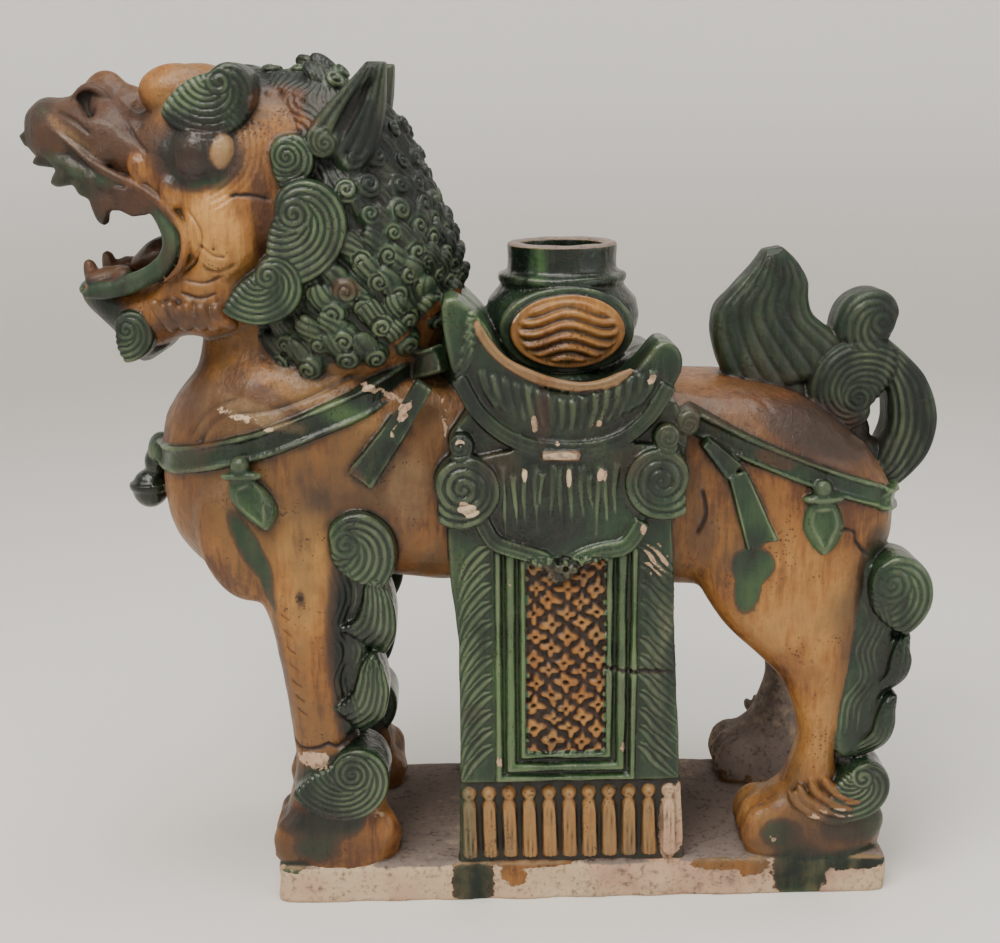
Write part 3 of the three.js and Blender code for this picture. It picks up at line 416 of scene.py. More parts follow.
def make_face():
    add("flesh", make_flesh())
    add("face", make_head())
    add_both("muzzle", lock([[-330, 541], [-331, 550], [-324, 557], [-315, 555], [-310, 548], [-313, 541]],
                            24, 2.8, 4))
    add_both("muzzle", ellipsoid([-304, -34, 521], [26, 12, 13], 32))
    add_both("bump", ellipsoid([-286, -48, 507], [8.5, 8, 11], 25),
             ellipsoid([-266, -55, 493], [8, 8, 12], 20))

    def lips(extra):
        """The distance of the lips from the middle plane, and a little more."""
        return lambda x, z: reading(MUZZLE, x, 1) + extra

    # The lip's green band runs round the open mouth, below a pinkish rim
    add_both("lip", lock([[-363, 530], [-346, 516], [-327, 505], [-307, 498], [-288, 491], [-275, 480],
                          [-268, 464],
                          [-271, 450], [-283, 439], [-303, 431], [-321, 427], [-333, 424]],
                         lips(-1), 6.5, 5.5, start=0.6))
    add_both("rim_of_lip", lock([[-359, 540], [-346, 532], [-332, 522], [-320, 512], [-305, 503],
            [-286, 494],
                                 [-271, 483], [-259, 466], [-262, 446], [-275, 434]],
                                lips(2), 2.8, 4))
    add("lip", lock([[-371, 530], [-366, 520]], 0, 5, 15), ellipsoid([-364, 0, 531], [6, 15, 13]),
        ellipsoid([-337, 0, 425], [5, 20, 5]))
    # The upper lip's lower edge is drawn out into the teeth
    add_both("tooth", bent(plate([
        [-366, 532], [-357, 543], [-348, 534], [-336, 525], [-324, 516], [-312, 507], [-300, 501],
        [-287, 494],
        [-276, 485], [-284, 477], [-294, 476], [-302, 480], [-309, 480], [-314, 471], [-319, 486],
        [-329, 490],
        [-333, 496], [-346, 494], [-344, 506], [-360, 508], [-359, 521],
    ], -8, 3.4, 2), MUZZLE))
    add_both("tooth", lock([[-331, 432], [-316, 436], [-300, 438]], 31, 6, 9))
    for foot, tip, half, distance in (
            ([-350, 517], [-359, 509], 7, 21), ([-336, 507], [-345, 496], 8, 32),
            ([-318, 495], [-314, 472], 6.5, 40),
            ([-297, 491], [-296, 480], 9, 44), ([-327, 434], [-329, 446], 5.5, 27),
            ([-317, 431], [-316, 442], 7, 32),
            ([-304, 433], [-304, 442], 8, 38)):
        add_both("tooth", tooth(foot, tip, half, distance))
    add("tongue", loft_along_x([[-304, 437, 446, 18], [-292, 436, 457, 25], [-270, 440, 464, 24]], 32))
    add_both("eye", ellipsoid([-247, -47, 516], [22, 22, 21]), ellipsoid([-264, -46, 516], [15, 14, 15]))
    add_both("lid", ellipsoid([-232, -59, 517], [8, 8, 12], -12))
    add_whorl("brow", [-231, 560], 130, 0.79, 9, 44, 10, 22, 62, 1.4, 1.5)
    add_whorl("temple", [-190, 514], 190, 0.82, 11, 20, 3, 38, 70, 1.0, 1.3)
    add_whorl("whorl", [-186, 479], 175, 0.79, 12, 48, 10, 38, 80, 1.2, 1.6)
    add_whorl("whorl", [-204, 440], 155, 0.83, 9, 38, 9, 38, 80, 1.4, 1.5)
    add_whorl("whorl", [-303, 402], 185, 0.78, 8, 23, 5, 16, 46, 1.2, 1.5, 3.0)
    # The chin hangs to a blunt tip
    add("whorl", loft_up([[374, -305, -297, -8, 8], [385, -315, -281, -24, 24], [399, -323, -272, -30, 30]],
                         32))
    add_blade("ear", [[-139, 572], [-150, 560], [-162, 548], [-174, 534], [-179, 523]],
              [[-126, 572], [-127, 556], [-129, 537], [-134, 518], [-144, 503]], 6, 40, 66, 1.8)
    comb([[-135, 562], [-146, 546], [-158, 526]], [2, 6, 5], 0, -4.5, 50)
    add_whorl("ear", [-166, 522], 20, 0.7, 6, 13, 3, 40, 69, 1.0, 1.0, 2.5)
    # Combed tufts under the jaw, and lines about the eye and the corner of the mouth
    for row in range(5):
        x = -281 + 10 * row
        add_both("beard", lock([[x - 2, 424 - row], [x + 4, 413 - row], [x + 13, 402 + 0.6 * row]], 56, 4.4,
                               5))
    comb([[-226, 545], [-216, 534], [-213, 519], [-217, 504], [-228, 493], [-243, 484]], 8, 4, 0.9, 40)
    for line in ([[-256, 482], [-247, 466], [-252, 450], [-262, 440]],
                 [[-250, 459], [-240, 452], [-232, 451]],
                 [[-262, 436], [-248, 434], [-236, 438]], [[-266, 428], [-252, 424], [-240, 427]],
                 [[-345, 545], [-330, 538], [-318, 528]], [[-296, 537], [-288, 525], [-280, 516]],
                 [[-226, 446], [-238, 441], [-248, 443]]):
        comb(line, 1.8, 0, -1.5, 30)


# Places on the side that the whorls and the ear take, as x, z and reach
SMOOTH_PLACES = [[-188, 514, 21], [-177, 464, 33], [-205, 424, 27], [-147, 540, 22], [-192, 543, 25]]
CURL_PITCH = 20.0
CURL_RADIUS = 8.4
curl_places = []


# The line of the lowest curls, as x and z
MANE_HEM = [[-230, 376], [-217, 379], [-177, 383], [-154, 387], [-131, 395], [-112, 408], [-98, 422],
            [-86, 428]]


def make_mane():
    rows = [[z, front, back, -half, half] for z, front, back, half in MANE]
    add("mane", loft_up(rows, 72, 2.2))
    random = np.random.default_rng(5)
    lowest, highest = 371.0, 561.0
    count = round((highest - lowest) / (CURL_PITCH * 0.86))
    for row in range(count + 1):
        z = lowest + (highest - lowest) * row / count
        front, back = mane_surface(z, math.pi)[0], mane_surface(z, 0)[0]
        half = float(reading(MANE, z, 3))
        girth = math.pi * math.sqrt(((back - front) ** 2 / 4 + half**2) / 2)
        number = round(girth / CURL_PITCH)
        for place in range(number + 1):
            for side in (1, -1):
                turn = math.pi * (place + 0.5 * (row % 2) + random.uniform(-0.16, 0.16)) / number
                hem = float(reading(MANE_HEM, mane_surface(z, turn)[0], 1))
                height = z + (hem - lowest) * (1 - row / count) ** 2 + random.uniform(-3, 3)
                if not 0 <= turn <= math.pi or (side < 0 and math.sin(turn) < 0.05):
                    continue
                middle = mane_surface(height, turn) * np.array([1, side, 1])
                covered = any(math.hypot(middle[0] - x, height - level) < reach for x, level,
                              reach in SMOOTH_PLACES)
                if covered or middle[0] < (-228 if z < 400 else -200):
                    continue
                out = Vector((math.cos(turn) * half, -math.sin(turn) * side * (back - front) / 2,
                              (z - 450) / 130 * half)).normalized()
                make_curl(middle, out, random.uniform(0, 360), random.uniform(0.85, 1.1))
    for x in (-205, -186, -168):
        for y in (-9, 9):
            make_curl(np.array([x, y, 563.0]), Vector((-0.1, y / 40, 1)).normalized(), 40 * x, 0.95)


def make_curl(middle, out, start, size):
    """A tuft that comes down from the front, and the tight curl that ends it."""
    flow = Vector((0.62, 0, -0.78))
    flow = (flow - out * flow.dot(out)).normalized()
    o, f = np.array(out), np.array(flow)
    across = np.cross(o, f)
    add("mane", egg(middle - f * 9 - o * 1, f * 13, across * 8.6, o * 6))
    levels = np.array([[-5, 1.3], [0, 1.18], [3.4, 1.0], [5.4, 0.94], [7.2, 0.76], [8.4, 0.46],
                       [8.9, 0.1]]) * size
    radius = CURL_RADIUS * levels[:, 1]
    add("curl", loft(middle + np.outer(levels[:, 0], o), np.outer(radius, f), np.outer(radius, across), 20))
    curl_places.append((middle + o * 7 * size, o, f, across, CURL_RADIUS * size, math.radians(start)))


# Fringes of the legs, and the tail

def make_fringes():
    """The curled hair behind each leg: a whorl, flame-shaped locks and a whorl at the heel."""
    add_both("fringe", plate([
        [-176, 262], [-160, 276], [-143, 272], [-138, 258], [-140, 240], [-146, 224], [-142, 205],
        [-148, 186],
        [-152, 168], [-150, 150], [-154, 132], [-176, 124],
    ], 38, 74, 4, 3))
    add_whorl("fringe", [-160, 263], 180, 0.64, 11, 40, 9, 44, 85, 1.2)
    add_blade("fringe", [[-144, 240], [-149, 232], [-151, 221], [-156, 209], [-168, 202]],
              [[-141, 240], [-133, 229], [-129, 214], [-129, 196], [-137, 180]], 6, 44, 82, sink=9)
    add_blade("fringe", [[-146, 184], [-153, 174], [-156, 164], [-161, 153], [-173, 144]],
              [[-143, 184], [-137, 168], [-135, 152], [-140, 134], [-154, 122]], 6, 44, 82, sink=9)
    add_whorl("fringe", [-161, 99], 150, 0.86, 15, 46, 9, 44, 86, 1.6)
    add_both("fringe", plate([
        [188, 236], [200, 240], [212, 236], [219, 222], [219, 204], [212, 190], [216, 174], [213, 160],
        [208, 150],
        [206, 136], [206, 122], [202, 110], [190, 98], [176, 104], [176, 140], [184, 190],
    ], 40, 74, 4, 3))
    add_whorl("fringe", [206, 229], 170, 0.67, 14, 40, 10, 44, 83, 1.7, 1.3)
    add_blade("fringe", [[220, 192], [213, 185], [209, 174], [207, 162], [197, 150]],
              [[222, 192], [222, 181], [224, 170], [219, 155], [204, 143]], 5, 44, 80, 1.2, sink=8)
    add_blade("fringe", [[213, 148], [206, 142], [202, 130], [199, 119], [188, 107]],
              [[216, 147], [215, 136], [215, 122], [208, 106], [193, 97]], 5, 44, 80, 1.2, sink=8)
    add_whorl("fringe", [193, 88], 135, 0.71, 8, 40, 11, 44, 84, 1.6, 1.3)
    for line in ([[-166, 246], [-161, 224], [-167, 204], [-160, 184], [-167, 164], [-162, 140]],
                 [[195, 216], [200, 198], [193, 178], [196, 158], [186, 140], [184, 118]]):
        comb(line, 8, 4, 1.1, 46)
    # Amber locks sweep from the hind ankle under the heel's whorl
    for line in ([[142, 78], [148, 69], [159, 60], [173, 54], [188, 53]],
                 [[149, 82], [154, 72], [166, 64], [178, 59], [190, 58]],
                 [[157, 85], [162, 76], [172, 69], [182, 65], [191, 64]],
                 [[166, 87], [171, 80], [178, 74], [187, 70], [195, 70]]):
        add_both("flesh", lock(line, 80, 3.4, 5))
    for height in (210, 198, 186, 174, 162, 151, 141):
        x = -208 + (210 - height) * 0.13
        comb([[x + 1, height + 3], [x + 4, height], [x + 8, height - 2]], 1.3, 0, -1.2, 20, both=False)


TAIL_HALF = 15.0


def make_tail():
    add_blade("tail", [[114, 340], [101, 360], [94, 379], [92, 395], [95, 408], [106, 420], [117, 432],
                       [127, 446]],
              [[198, 366], [188, 381], [175, 391], [163, 401], [159, 412], [158, 425], [150, 438],
               [139, 448]], 8,
              -TAIL_HALF, TAIL_HALF, 1.6, 8, 0)
    # The outer band rises from the rump round the see-through hole to the small scroll
    inner = [[196, 286], [208, 297], [213, 310], [217, 324], [216, 342], [211, 357], [202, 371], [190, 382]]
    outer = [[222, 276], [237, 289], [247, 302], [252, 319], [251, 337], [243, 357], [228, 373], [213, 386]]
    add_blade("tail", inner, outer, 6, -TAIL_HALF - 3, TAIL_HALF + 3, 1.5, 8, 1)
    add_whorl("tail", [193, 344], -37, 0.75, 12, 45, 9, -TAIL_HALF - 5, TAIL_HALF + 5, 0.7, 1.5, 8)
    add_whorl("tail", [208, 397], 180, 0.56, 11, 33, 7, -TAIL_HALF - 3, TAIL_HALF + 3, 1.0, 1.4, 7,
              flip=True)
    add("tail", ellipsoid([170, 0, 316], [38, 15, 26]), ellipsoid([150, 0, 342], [17, 14, 17]),
        ellipsoid([206, 0, 302], [15, 14, 11], -30))


# Saddle, cloths and harness

FLAP, CLOTH, PANEL = 86.0, 88.0, 84.0
HEM = [[-71, 281], [-62, 265], [-45, 258], [-28, 252], [-18, 241], [-8, 251], [7, 257], [25, 261],
       [36, 277]]
PANEL_LEFT, PANEL_RIGHT, PANEL_FOOT = -88.0, 65.0, 89.0
FRINGE_FOOT = 32.0
FIELD = [-41.0, 13.0, 112.0, 246.0]
RAIL_WIDTH = 21.0
TASSELS = 11
TASSEL_PITCH = 13.9


def along_side(points, distance, profile, steps=6, start=1.0):
    """A moulding along the near side; start is its width at its first point."""
    places, side = course(points, distance, steps)
    side = side * np.linspace(start, 1, len(places))[:, None]
    return sweep(places, side, np.tile([0.0, -1.0, 0.0], (len(places), 1)), profile)


DOUBLE_RIM = [[-5.4, -6], [-5.4, 1.5], [-4.4, 3.4], [-3.2, 3.4], [-2.2, 0.8], [-1.2, 3.8], [0.6, 3.8],
              [1.6, 0.8],
              [2.8, 3.6], [4.4, 3.4], [5.2, 1.5], [5.2, -6]]


def make_saddle():
    add("saddle", loft_along_x([
        [-96, 340, 412, 40], [-84, 332, 424, 56], [-66, 330, 408, 62], [-50, 328, 384, 64],
        [-12, 326, 371, 66],
        [30, 328, 373, 64], [46, 332, 380, 58], [60, 340, 374, 44],
    ], power=2.6))
    add("saddle", plate([
        [-94, 420], [-84, 425], [-66, 408], [-56, 388], [-38, 371], [-12, 363], [18, 368], [34, 382],
        [46, 396],
        [58, 391], [60, 376], [46, 352], [26, 334], [-12, 324], [-50, 331], [-74, 350], [-88, 380],
    ], 44, FLAP, 3, 3))
    add("saddle", flipped(plate([
        [-90, 380], [-66, 384], [-38, 368], [-12, 360], [18, 366], [46, 374], [60, 366], [46, 350],
        [26, 334],
        [-12, 324], [-50, 331], [-74, 350],
    ], 44, FLAP, 3, 3)))
    rim = [[-84, 374], [-70, 350], [-46, 332], [-12, 326], [18, 331], [38, 346], [52, 368]]
    add_both("saddle", along_side(rim, FLAP, DOUBLE_RIM))
    arc = [[-75, 416], [-66, 398], [-52, 383], [-32, 373], [-8, 367.5], [13, 370], [28, 378]]
    add("arc", lock(arc, FLAP - 2, 3.2, 4.4))
    add("arc", flipped(lock([[-64, 378], [-40, 371], [-5, 366], [24, 371]], FLAP - 2, 4, 4)))
    comb(arc, 3.6, 2, 1.4, 70)
    add("arc", plate([[-30, 320], [-6, 320], [-6, 325.5], [-30, 325.5]], 60, FLAP + 6, 1))
    for x in range(-66, 40, 7):
        foot = 338 + abs(x + 12) ** 1.6 * 0.028
        comb([[x * 0.85 - 3, foot], [x, foot + 12], [x * 1.06, min(358 + abs(x + 12) * 0.4, foot + 42)]],
             [2.4, 3.4, 3.2],
             0, 2.1, 70)
    for row in range(5):
        comb([[-86 + row * 2, 372 + row * 9], [-78 + row, 384 + row * 8], [-74, 394 + row * 5]], 2.8, 0,
             2.0, 60)


def make_short_cloth():
    sheet = [*HEM, [52, 284], [66, 300], [60, 328], [26, 330], [-12, 322], [-50, 326], [-80, 320],
             [-98, 300],
             [-84, 282]]
    add_both("short_cloth", plate([[-86, 300], [-90, 336], [-74, 356], [58, 356], [66, 330], [62, 300]], 60,
            82, 2))
    add_both("short_cloth", plate(sheet, 60, CLOTH, 2), along_side(HEM, CLOTH, DOUBLE_RIM, 5))
    add_whorl("short_cloth", [-82, 302], 200, 0.9, 18, 29, 2, 58, CLOTH + 4, 1.0, 2.2, 3)
    add_whorl("short_cloth", [48, 306], 200, 0.9, 18, 29, 2, 58, CLOTH + 4, 1.0, 2.2, 3, flip=True)
    add_whorl("short_cloth", [-84, 330], 200, 0.9, 7, 11, 1, 58, CLOTH + 2, 1.0, 1.2, 2)
    add_whorl("short_cloth", [52, 334], 200, 0.9, 7, 11, 1, 58, CLOTH + 2, 1.0, 1.2, 2, flip=True)
    random = np.random.default_rng(3)
    for x in range(-54, 24, 6):
        x, foot, top = x + random.uniform(-1.5, 1.5), random.uniform(264, 290), random.uniform(308, 320)
        comb([[x + random.uniform(-2, 3), foot], [x, (foot + top) / 2], [x + random.uniform(-2, 2), top]],
             [0.9, 2.4, 3.2], 0,
             2.0, 80)
    # A round boss ends the crupper beside the saddle
    add_whorl("strap", [66, 341], 0, 0.9, 7, 9.5, 1, 60, 83, 1.0, 1.2, 2)


def make_long_cloth():
    left, right, foot, top = FIELD
    add_both("panel", plate([
        [PANEL_LEFT + 1, PANEL_FOOT], [PANEL_RIGHT + 1, PANEL_FOOT], [PANEL_RIGHT - 4, 170],
        [PANEL_RIGHT - 9, 288],
        [PANEL_LEFT - 5, 288], [PANEL_LEFT - 3, 230], [PANEL_LEFT + 2, 190],
    ], 66, PANEL, 2))
    add_both("tassel_ground", plate([
        [PANEL_LEFT, FRINGE_FOOT - 8], [PANEL_RIGHT + 5, FRINGE_FOOT - 8], [PANEL_RIGHT + 2, PANEL_FOOT],
        [PANEL_LEFT + 1, PANEL_FOOT],
    ], 68, PANEL - 4, 1))
    add_both("field", plate([[left, foot], [right, foot], [right, top + 10], [left, top + 10]], 70,
                            PANEL + 0.5, 0.6))
    half = RAIL_WIDTH / 2
    profile = [[-half, -3], [-half, 2.6], [-half + 1.4, 4.6], [-half + 3.4, 4.2], [-5.2, -1.6],
               [-3.4, -1.6], [-2.4, 4.4],
               [0, 5.6], [2.4, 4.4], [3.4, -1.6], [5.2, -1.6], [half - 3.4, 4.2], [half - 1.4, 4.6],
               [half, 2.6],
               [half, -3]]
    corners = np.array([[left - half, -PANEL, 258], [left - half, -PANEL, foot - half],
                        [right + half, -PANEL, foot - half], [right + half, -PANEL, 258]])
    mitres = np.array([[1, 0, 0], [1, 0, 1], [-1, 0, 1], [-1, 0, 0]], float)
    for start in range(3):
        ends = [start, start + 1]
        add_both("rail", sweep(corners[ends], mitres[ends], np.tile([0.0, -1.0, 0.0], (2, 1)), profile))
    for place in range(TASSELS):
        x = PANEL_LEFT + 7 + TASSEL_PITCH * place
        add_both("tassel", loft(vectors([x, x, x + 0.5, x + 1], -(PANEL - 3.5), [74, 70, 50, FRINGE_FOOT]),
                                vectors([3.0, 4.1, 4.3, 4.5]), vectors([0] * 4, [4, 5, 5, 4.4]), 20, 3.4),
                 ellipsoid([x, -(PANEL - 2.5), 80], [4.4, 5.2, 4.6]))
        comb([[x, 71], [x + 1, FRINGE_FOOT]], 4.6, 3, 2.6, PANEL - 4)
        pits.append((x, 79, 1.6, 2.6, PANEL - 4, 0))
    # Feather strokes on both borders
    for row in range(12):
        z = 98 + row * 13
        comb([[left - RAIL_WIDTH - 2, z + 19], [left - RAIL_WIDTH - 9, z + 15],
              [left - RAIL_WIDTH - 17, z + 6],
              [PANEL_LEFT + 3, z - 6]], [3, 5.5, 5.5, 2.4], 2, 1.9, 80)
        comb([[right + RAIL_WIDTH + 2, z + 19], [right + RAIL_WIDTH + 9, z + 14],
              [right + RAIL_WIDTH + 16, z + 5],
              [PANEL_RIGHT - 3, z - 6]], [3, 5.5, 5.5, 2.4], 2, 1.9, 80)


def strap(points, half, turn, inner=-9):
    """A strap over the flanks and round the front or back of the body, with a raised rim on each side."""
    near = smooth_rows(points, 5)
    least = np.interp(near[:, 0], [-150, -112, -98, 0], [0, 50, 62, 0])
    near = vectors(near[:, 0], -np.maximum(flank(near[:, 0], near[:, 1]), least), near[:, 1])
    line = smooth_rows(np.vstack([near[::3], [[turn[0], 0, turn[1]]], (near * [1, -1, 1])[::-1][::3]]), 6)
    along = np.gradient(line, axis=0)
    along /= np.linalg.norm(along, axis=1, keepdims=True)
    out = vectors(along[:, 1], -along[:, 0], 0)
    out /= np.maximum(np.linalg.norm(out, axis=1, keepdims=True), 1e-6)
    wrong = (out[:, 1] * line[:, 1] + out[:, 0] * np.sign(turn[0]) * 10) < 0
    out[wrong] *= -1
    side = np.cross(out, along)
    return sweep(line, side, out, [[-half, inner], [-half, 4.5], [-half + 2, 6], [-half + 4, 3.2],
            [half - 4, 3.2],
                                   [half - 2, 6], [half, 4.5], [half, inner]])


def drop(top, tip, half, distance):
    """A leaf-shaped pendant with a cap and a raised knob above it."""
    share = np.linspace(0, 1, 14)
    x = top[0] + (tip[0] - top[0]) * share
    z = top[1] + (tip[1] - top[1]) * share
    width = half * np.sin(np.pi * np.clip(share * 0.8 + 0.2, 0, 1) ** 1.15) ** 0.8 + 0.8
    comb([[top[0] + (tip[0] - top[0]) * place, top[1] + (tip[1] - top[1]) * place] for place in (0.12, 0.4,
            0.8)],
         [half * 0.5, half * 0.62, 1.5], 0, -2.2, distance - 8)
    return [loft(vectors(x, -distance, z), vectors(width), vectors(0 * x, 5 + 3 * np.sin(np.pi * share)),
                 24),
            ellipsoid([top[0] - 1, -distance - 2, top[1] + 10], [6.5, 6, 6.5]),
            ellipsoid([top[0], -distance - 2, top[1] + 3], [half + 1, 5.5, 3.4])]


def make_harness():
    add("strap", strap([[-96, 383], [-112, 376], [-128, 367], [-150, 355], [-187, 340], [-215, 329],
                        [-238, 323], [-262, 317],
                        [-283, 313]], 9, [-291.5, 311]), ellipsoid([-295, 0, 311], [9, 16, 11.5]))
    add("strap", strap([[64, 343], [84, 334], [104, 324], [124, 315.5], [160, 301], [190, 290], [206, 283]],
                       8,
                       [221, 274]))
    add("bell", ellipsoid([-304, 0, 282], [13, 13, 14], 0, 32, 20), ellipsoid([-299, 0, 301], [8, 11, 12]),
        lathe([[0, -3], [14.4, -2.4], [14.8, 0], [14.4, 2.4], [0, 3]], [-304, 0, 284]))
    for path, half, distance, start in (([[-106, 369], [-128, 336], [-150, 306]], 9.5, 80.5, 0.6),
                                        ([[99, 307], [108, 283], [117, 258]], 10.5, 81.5, 0.55),
                                        ([[78, 328], [86, 320], [97, 308]], 7, 80, 0.5)):
        add_both("strap", along_side(path, distance,
                [[-half, -8], [-half, 3.2], [1.4 - half, 4], [3 - half, 1.8],
                                                      [half - 3, 1.8], [half - 1.4, 4], [half, 3.2],
                                                      [half, -8]], 8, start))
    add_both("strap", *drop([-227, 307], [-212, 273], 13, 79), *drop([157, 286], [159, 251], 13, 80.5))
    for line in ([[-264, 330], [-257, 342], [-245, 353], [-226, 360]],
                 [[-257, 328], [-249, 340], [-236, 349]],
                 [[-236, 349], [-208, 352], [-178, 362], [-150, 374]]):
        comb(line, 2.4, 0, -1.4, 20)


# Vase and slab

VASE = np.array([-12.0, 0.0, 360.0])


def make_vase():
    add("vase", lathe([
        [0, -16], [52, -16], [54, 2], [50, 8], [42, 10], [43, 14], [48, 24], [52.5, 36], [53.5, 43],
        [51, 54],
        [44, 62], [42, 64], [42.5, 66], [44, 67.5], [44, 71], [42.5, 72], [38.5, 73], [37, 75], [36.8, 82],
        [37.4, 90],
        [37.2, 92.4], [35, 93], [30.5, 93], [29, 92], [28.6, 78], [28.5, 66], [36, 56], [44.5, 43],
        [40, 26], [33, 15],
        [0, 14],
    ], VASE))
    add_both("medallion", ellipsoid([VASE[0] + 1, -38.5, VASE[2] + 38], [45, 19, 29], 0, 48, 30))


def make_slab():
    """The slab's corners are rounded and its edges are soft and uneven."""
    half_x, half_y, corner = 216.0, 84.5, 10.0
    turn = 2 * np.pi * np.arange(480) / 480
    c, s = np.cos(turn), np.sin(turn)
    reach = 1 / np.maximum(np.abs(c) / half_x, np.abs(s) / half_y)
    x, y = reach * c, reach * s
    over_x, over_y = np.maximum(np.abs(x) - (half_x - corner), 0), np.maximum(np.abs(y) - (half_y - corner),
            0)
    far = np.hypot(over_x, over_y)
    pull = np.where((far > corner) & (over_x > 0) & (over_y > 0), corner / np.maximum(far, 1e-6), 1)
    x = np.where(over_x > 0, np.sign(x) * (half_x - corner + over_x * pull), x)
    y = np.where(over_y > 0, np.sign(y) * (half_y - corner + over_y * pull), y)
    rings = []
    for rise, inset in ((0, 1.2), (1, 0), (8, 0), (16, 0), (23, 0.3), (26, 1.6), (27.4, 4)):
        level = vectors(x * (1 - inset / half_x), y * (1 - inset / half_y), rise)
        uneven = 1.3 * waves(level * [1, 1, 1.6], 26, 3) + 0.5 * waves(level, 9, 4)
        away = level[:, :2] / np.linalg.norm(level[:, :2], axis=1, keepdims=True)
        level[:, :2] += away * np.clip(uneven, -2, 1.6)[:, None] * (0.3 if rise == 0 else 1)
        rings.append(level)
    add("slab", skin(np.array(rings)))


# Fusing the forms into one skin

def waves(points, size, seed, count=9):
    """A smooth random field about -1 to 1, with lumps of about this size."""
    random = np.random.default_rng(seed)
    direction = random.normal(size=(count, 3))
    direction /= np.linalg.norm(direction, axis=1, keepdims=True)
    pitch = size * random.uniform(1.2, 3.0, count)
    shift = random.uniform(0, 2 * np.pi, count)
    total = np.zeros(len(points))
    for heading, length, start in zip(direction, pitch, shift):
        total += np.sin(points @ heading * (2 * np.pi / length) + start)
    return total / math.sqrt(count)


def step(low, high, value):
    t = np.clip((value - low) / (high - low), 0, 1)
    return t * t * (3 - 2 * t)


def relaxed(points, edges, rounds, share=0.5):
    """Draws every corner towards the middle of its neighbours."""
    a, b = edges.T
    count = len(points)
    degree = np.bincount(edges.ravel(), minlength=count)[:, None]
    for _ in range(rounds):
        total = np.column_stack([np.bincount(a, points[b, axis], count) + np.bincount(b, points[a, axis],
                count)
                                 for axis in range(points.shape[1])])
        points = points + share * (total / degree - points)
    return points


def fused(made, pitch):
    """One closed mesh over overlapping forms."""
    corners = np.vstack([form[0] for form in made])
    faces, start = [], 0
    for form_corners, form_faces in made:
        faces += [[corner + start for corner in face] for face in form_faces]
        start += len(form_corners)
    mesh = bpy.data.meshes.new("fused")
    mesh.from_pydata(corners.tolist(), [], faces)
    holder = bpy.data.objects.new("fused", mesh)
    bpy.context.scene.collection.objects.link(holder)
    remesh = holder.modifiers.new("fuse", "REMESH")
    remesh.mode = "VOXEL"
    remesh.voxel_size = pitch
    remesh.adaptivity = 0
    done = bpy.data.meshes.new_from_object(holder.evaluated_get(bpy.context.evaluated_depsgraph_get()))
    bpy.data.objects.remove(holder)
    bpy.data.meshes.remove(mesh)
    return done


def read(mesh, what, each, kind=np.float32, of="vertices"):
    items = getattr(mesh, of)
    values = np.empty(len(items) * each, kind)
    items.foreach_get(what, values)
    return values.reshape(-1, each) if each > 1 else values


def melted(made, pitch, rounds):
    mesh = fused(made, pitch)
    corners = relaxed(read(mesh, "co", 3).astype(float), read(mesh, "vertices", 2, np.int32, "edges"),
                      rounds)
    faces = [list(polygon.vertices) for polygon in mesh.polygons]
    bpy.data.meshes.remove(mesh)
    return corners, faces


# Carving: each function gives how far corners of the skin rise, in mm; strands also give the share of the
# earlier carving that they replace

def side_weight(points, normals, inner):
    return step(inner - 3, inner + 1, np.abs(points[:, 1])) * step(0.2, 0.55, np.abs(normals[:, 1]))


def near_side(points, low, high, inner):
    """The corners inside a box in the side view that lie further out than inner."""
    return np.flatnonzero((points[:, 0] > low[0]) & (points[:, 0] < high[0]) & (points[:, 2] > low[1])
                          & (points[:, 2] < high[1]) & (np.abs(points[:, 1]) > inner - 3))


def whorl(points, normals, eye, start, turns, first, last, strands, depth, inner, power, flip):
    """Strands that wind out of an eye to the rim of a comma."""
    eye, rise, claim = np.asarray(eye, float), np.zeros(len(points)), np.zeros(len(points))
    near = near_side(points, eye - last - 2, eye + last + 2, inner)
    x, z = points[near, 0] - eye[0], points[near, 2] - eye[1]
    x = -x if flip else x
    radius = np.hypot(x, z)
    turn = (math.radians(start) - np.arctan2(z, x)) / (2 * np.pi) % 1.0
    opened = first + (last - first) * (turn / turns) ** power
    pitch = (last - first) * (1 / turns) ** power / strands
    rim = rim_of_whorl(turn, turns, first, last, power)
    outside = step(0.8, 1.15, radius / first)
    arm = np.abs(np.sin(np.pi * (radius / pitch - turn))) ** 0.7
    ridges = arm + (np.abs(np.sin(np.pi * (opened - radius) / pitch)) ** 0.7 - arm) * outside - 0.62
    weight = side_weight(points[near], normals[near], inner) * (1 - step(0.94, 1.06, radius / rim))
    rise[near] = (depth * ridges + 1.6 * (1 - np.minimum(radius / rim, 1) ** 2)) * weight
    claim[near] = weight
    return rise, claim


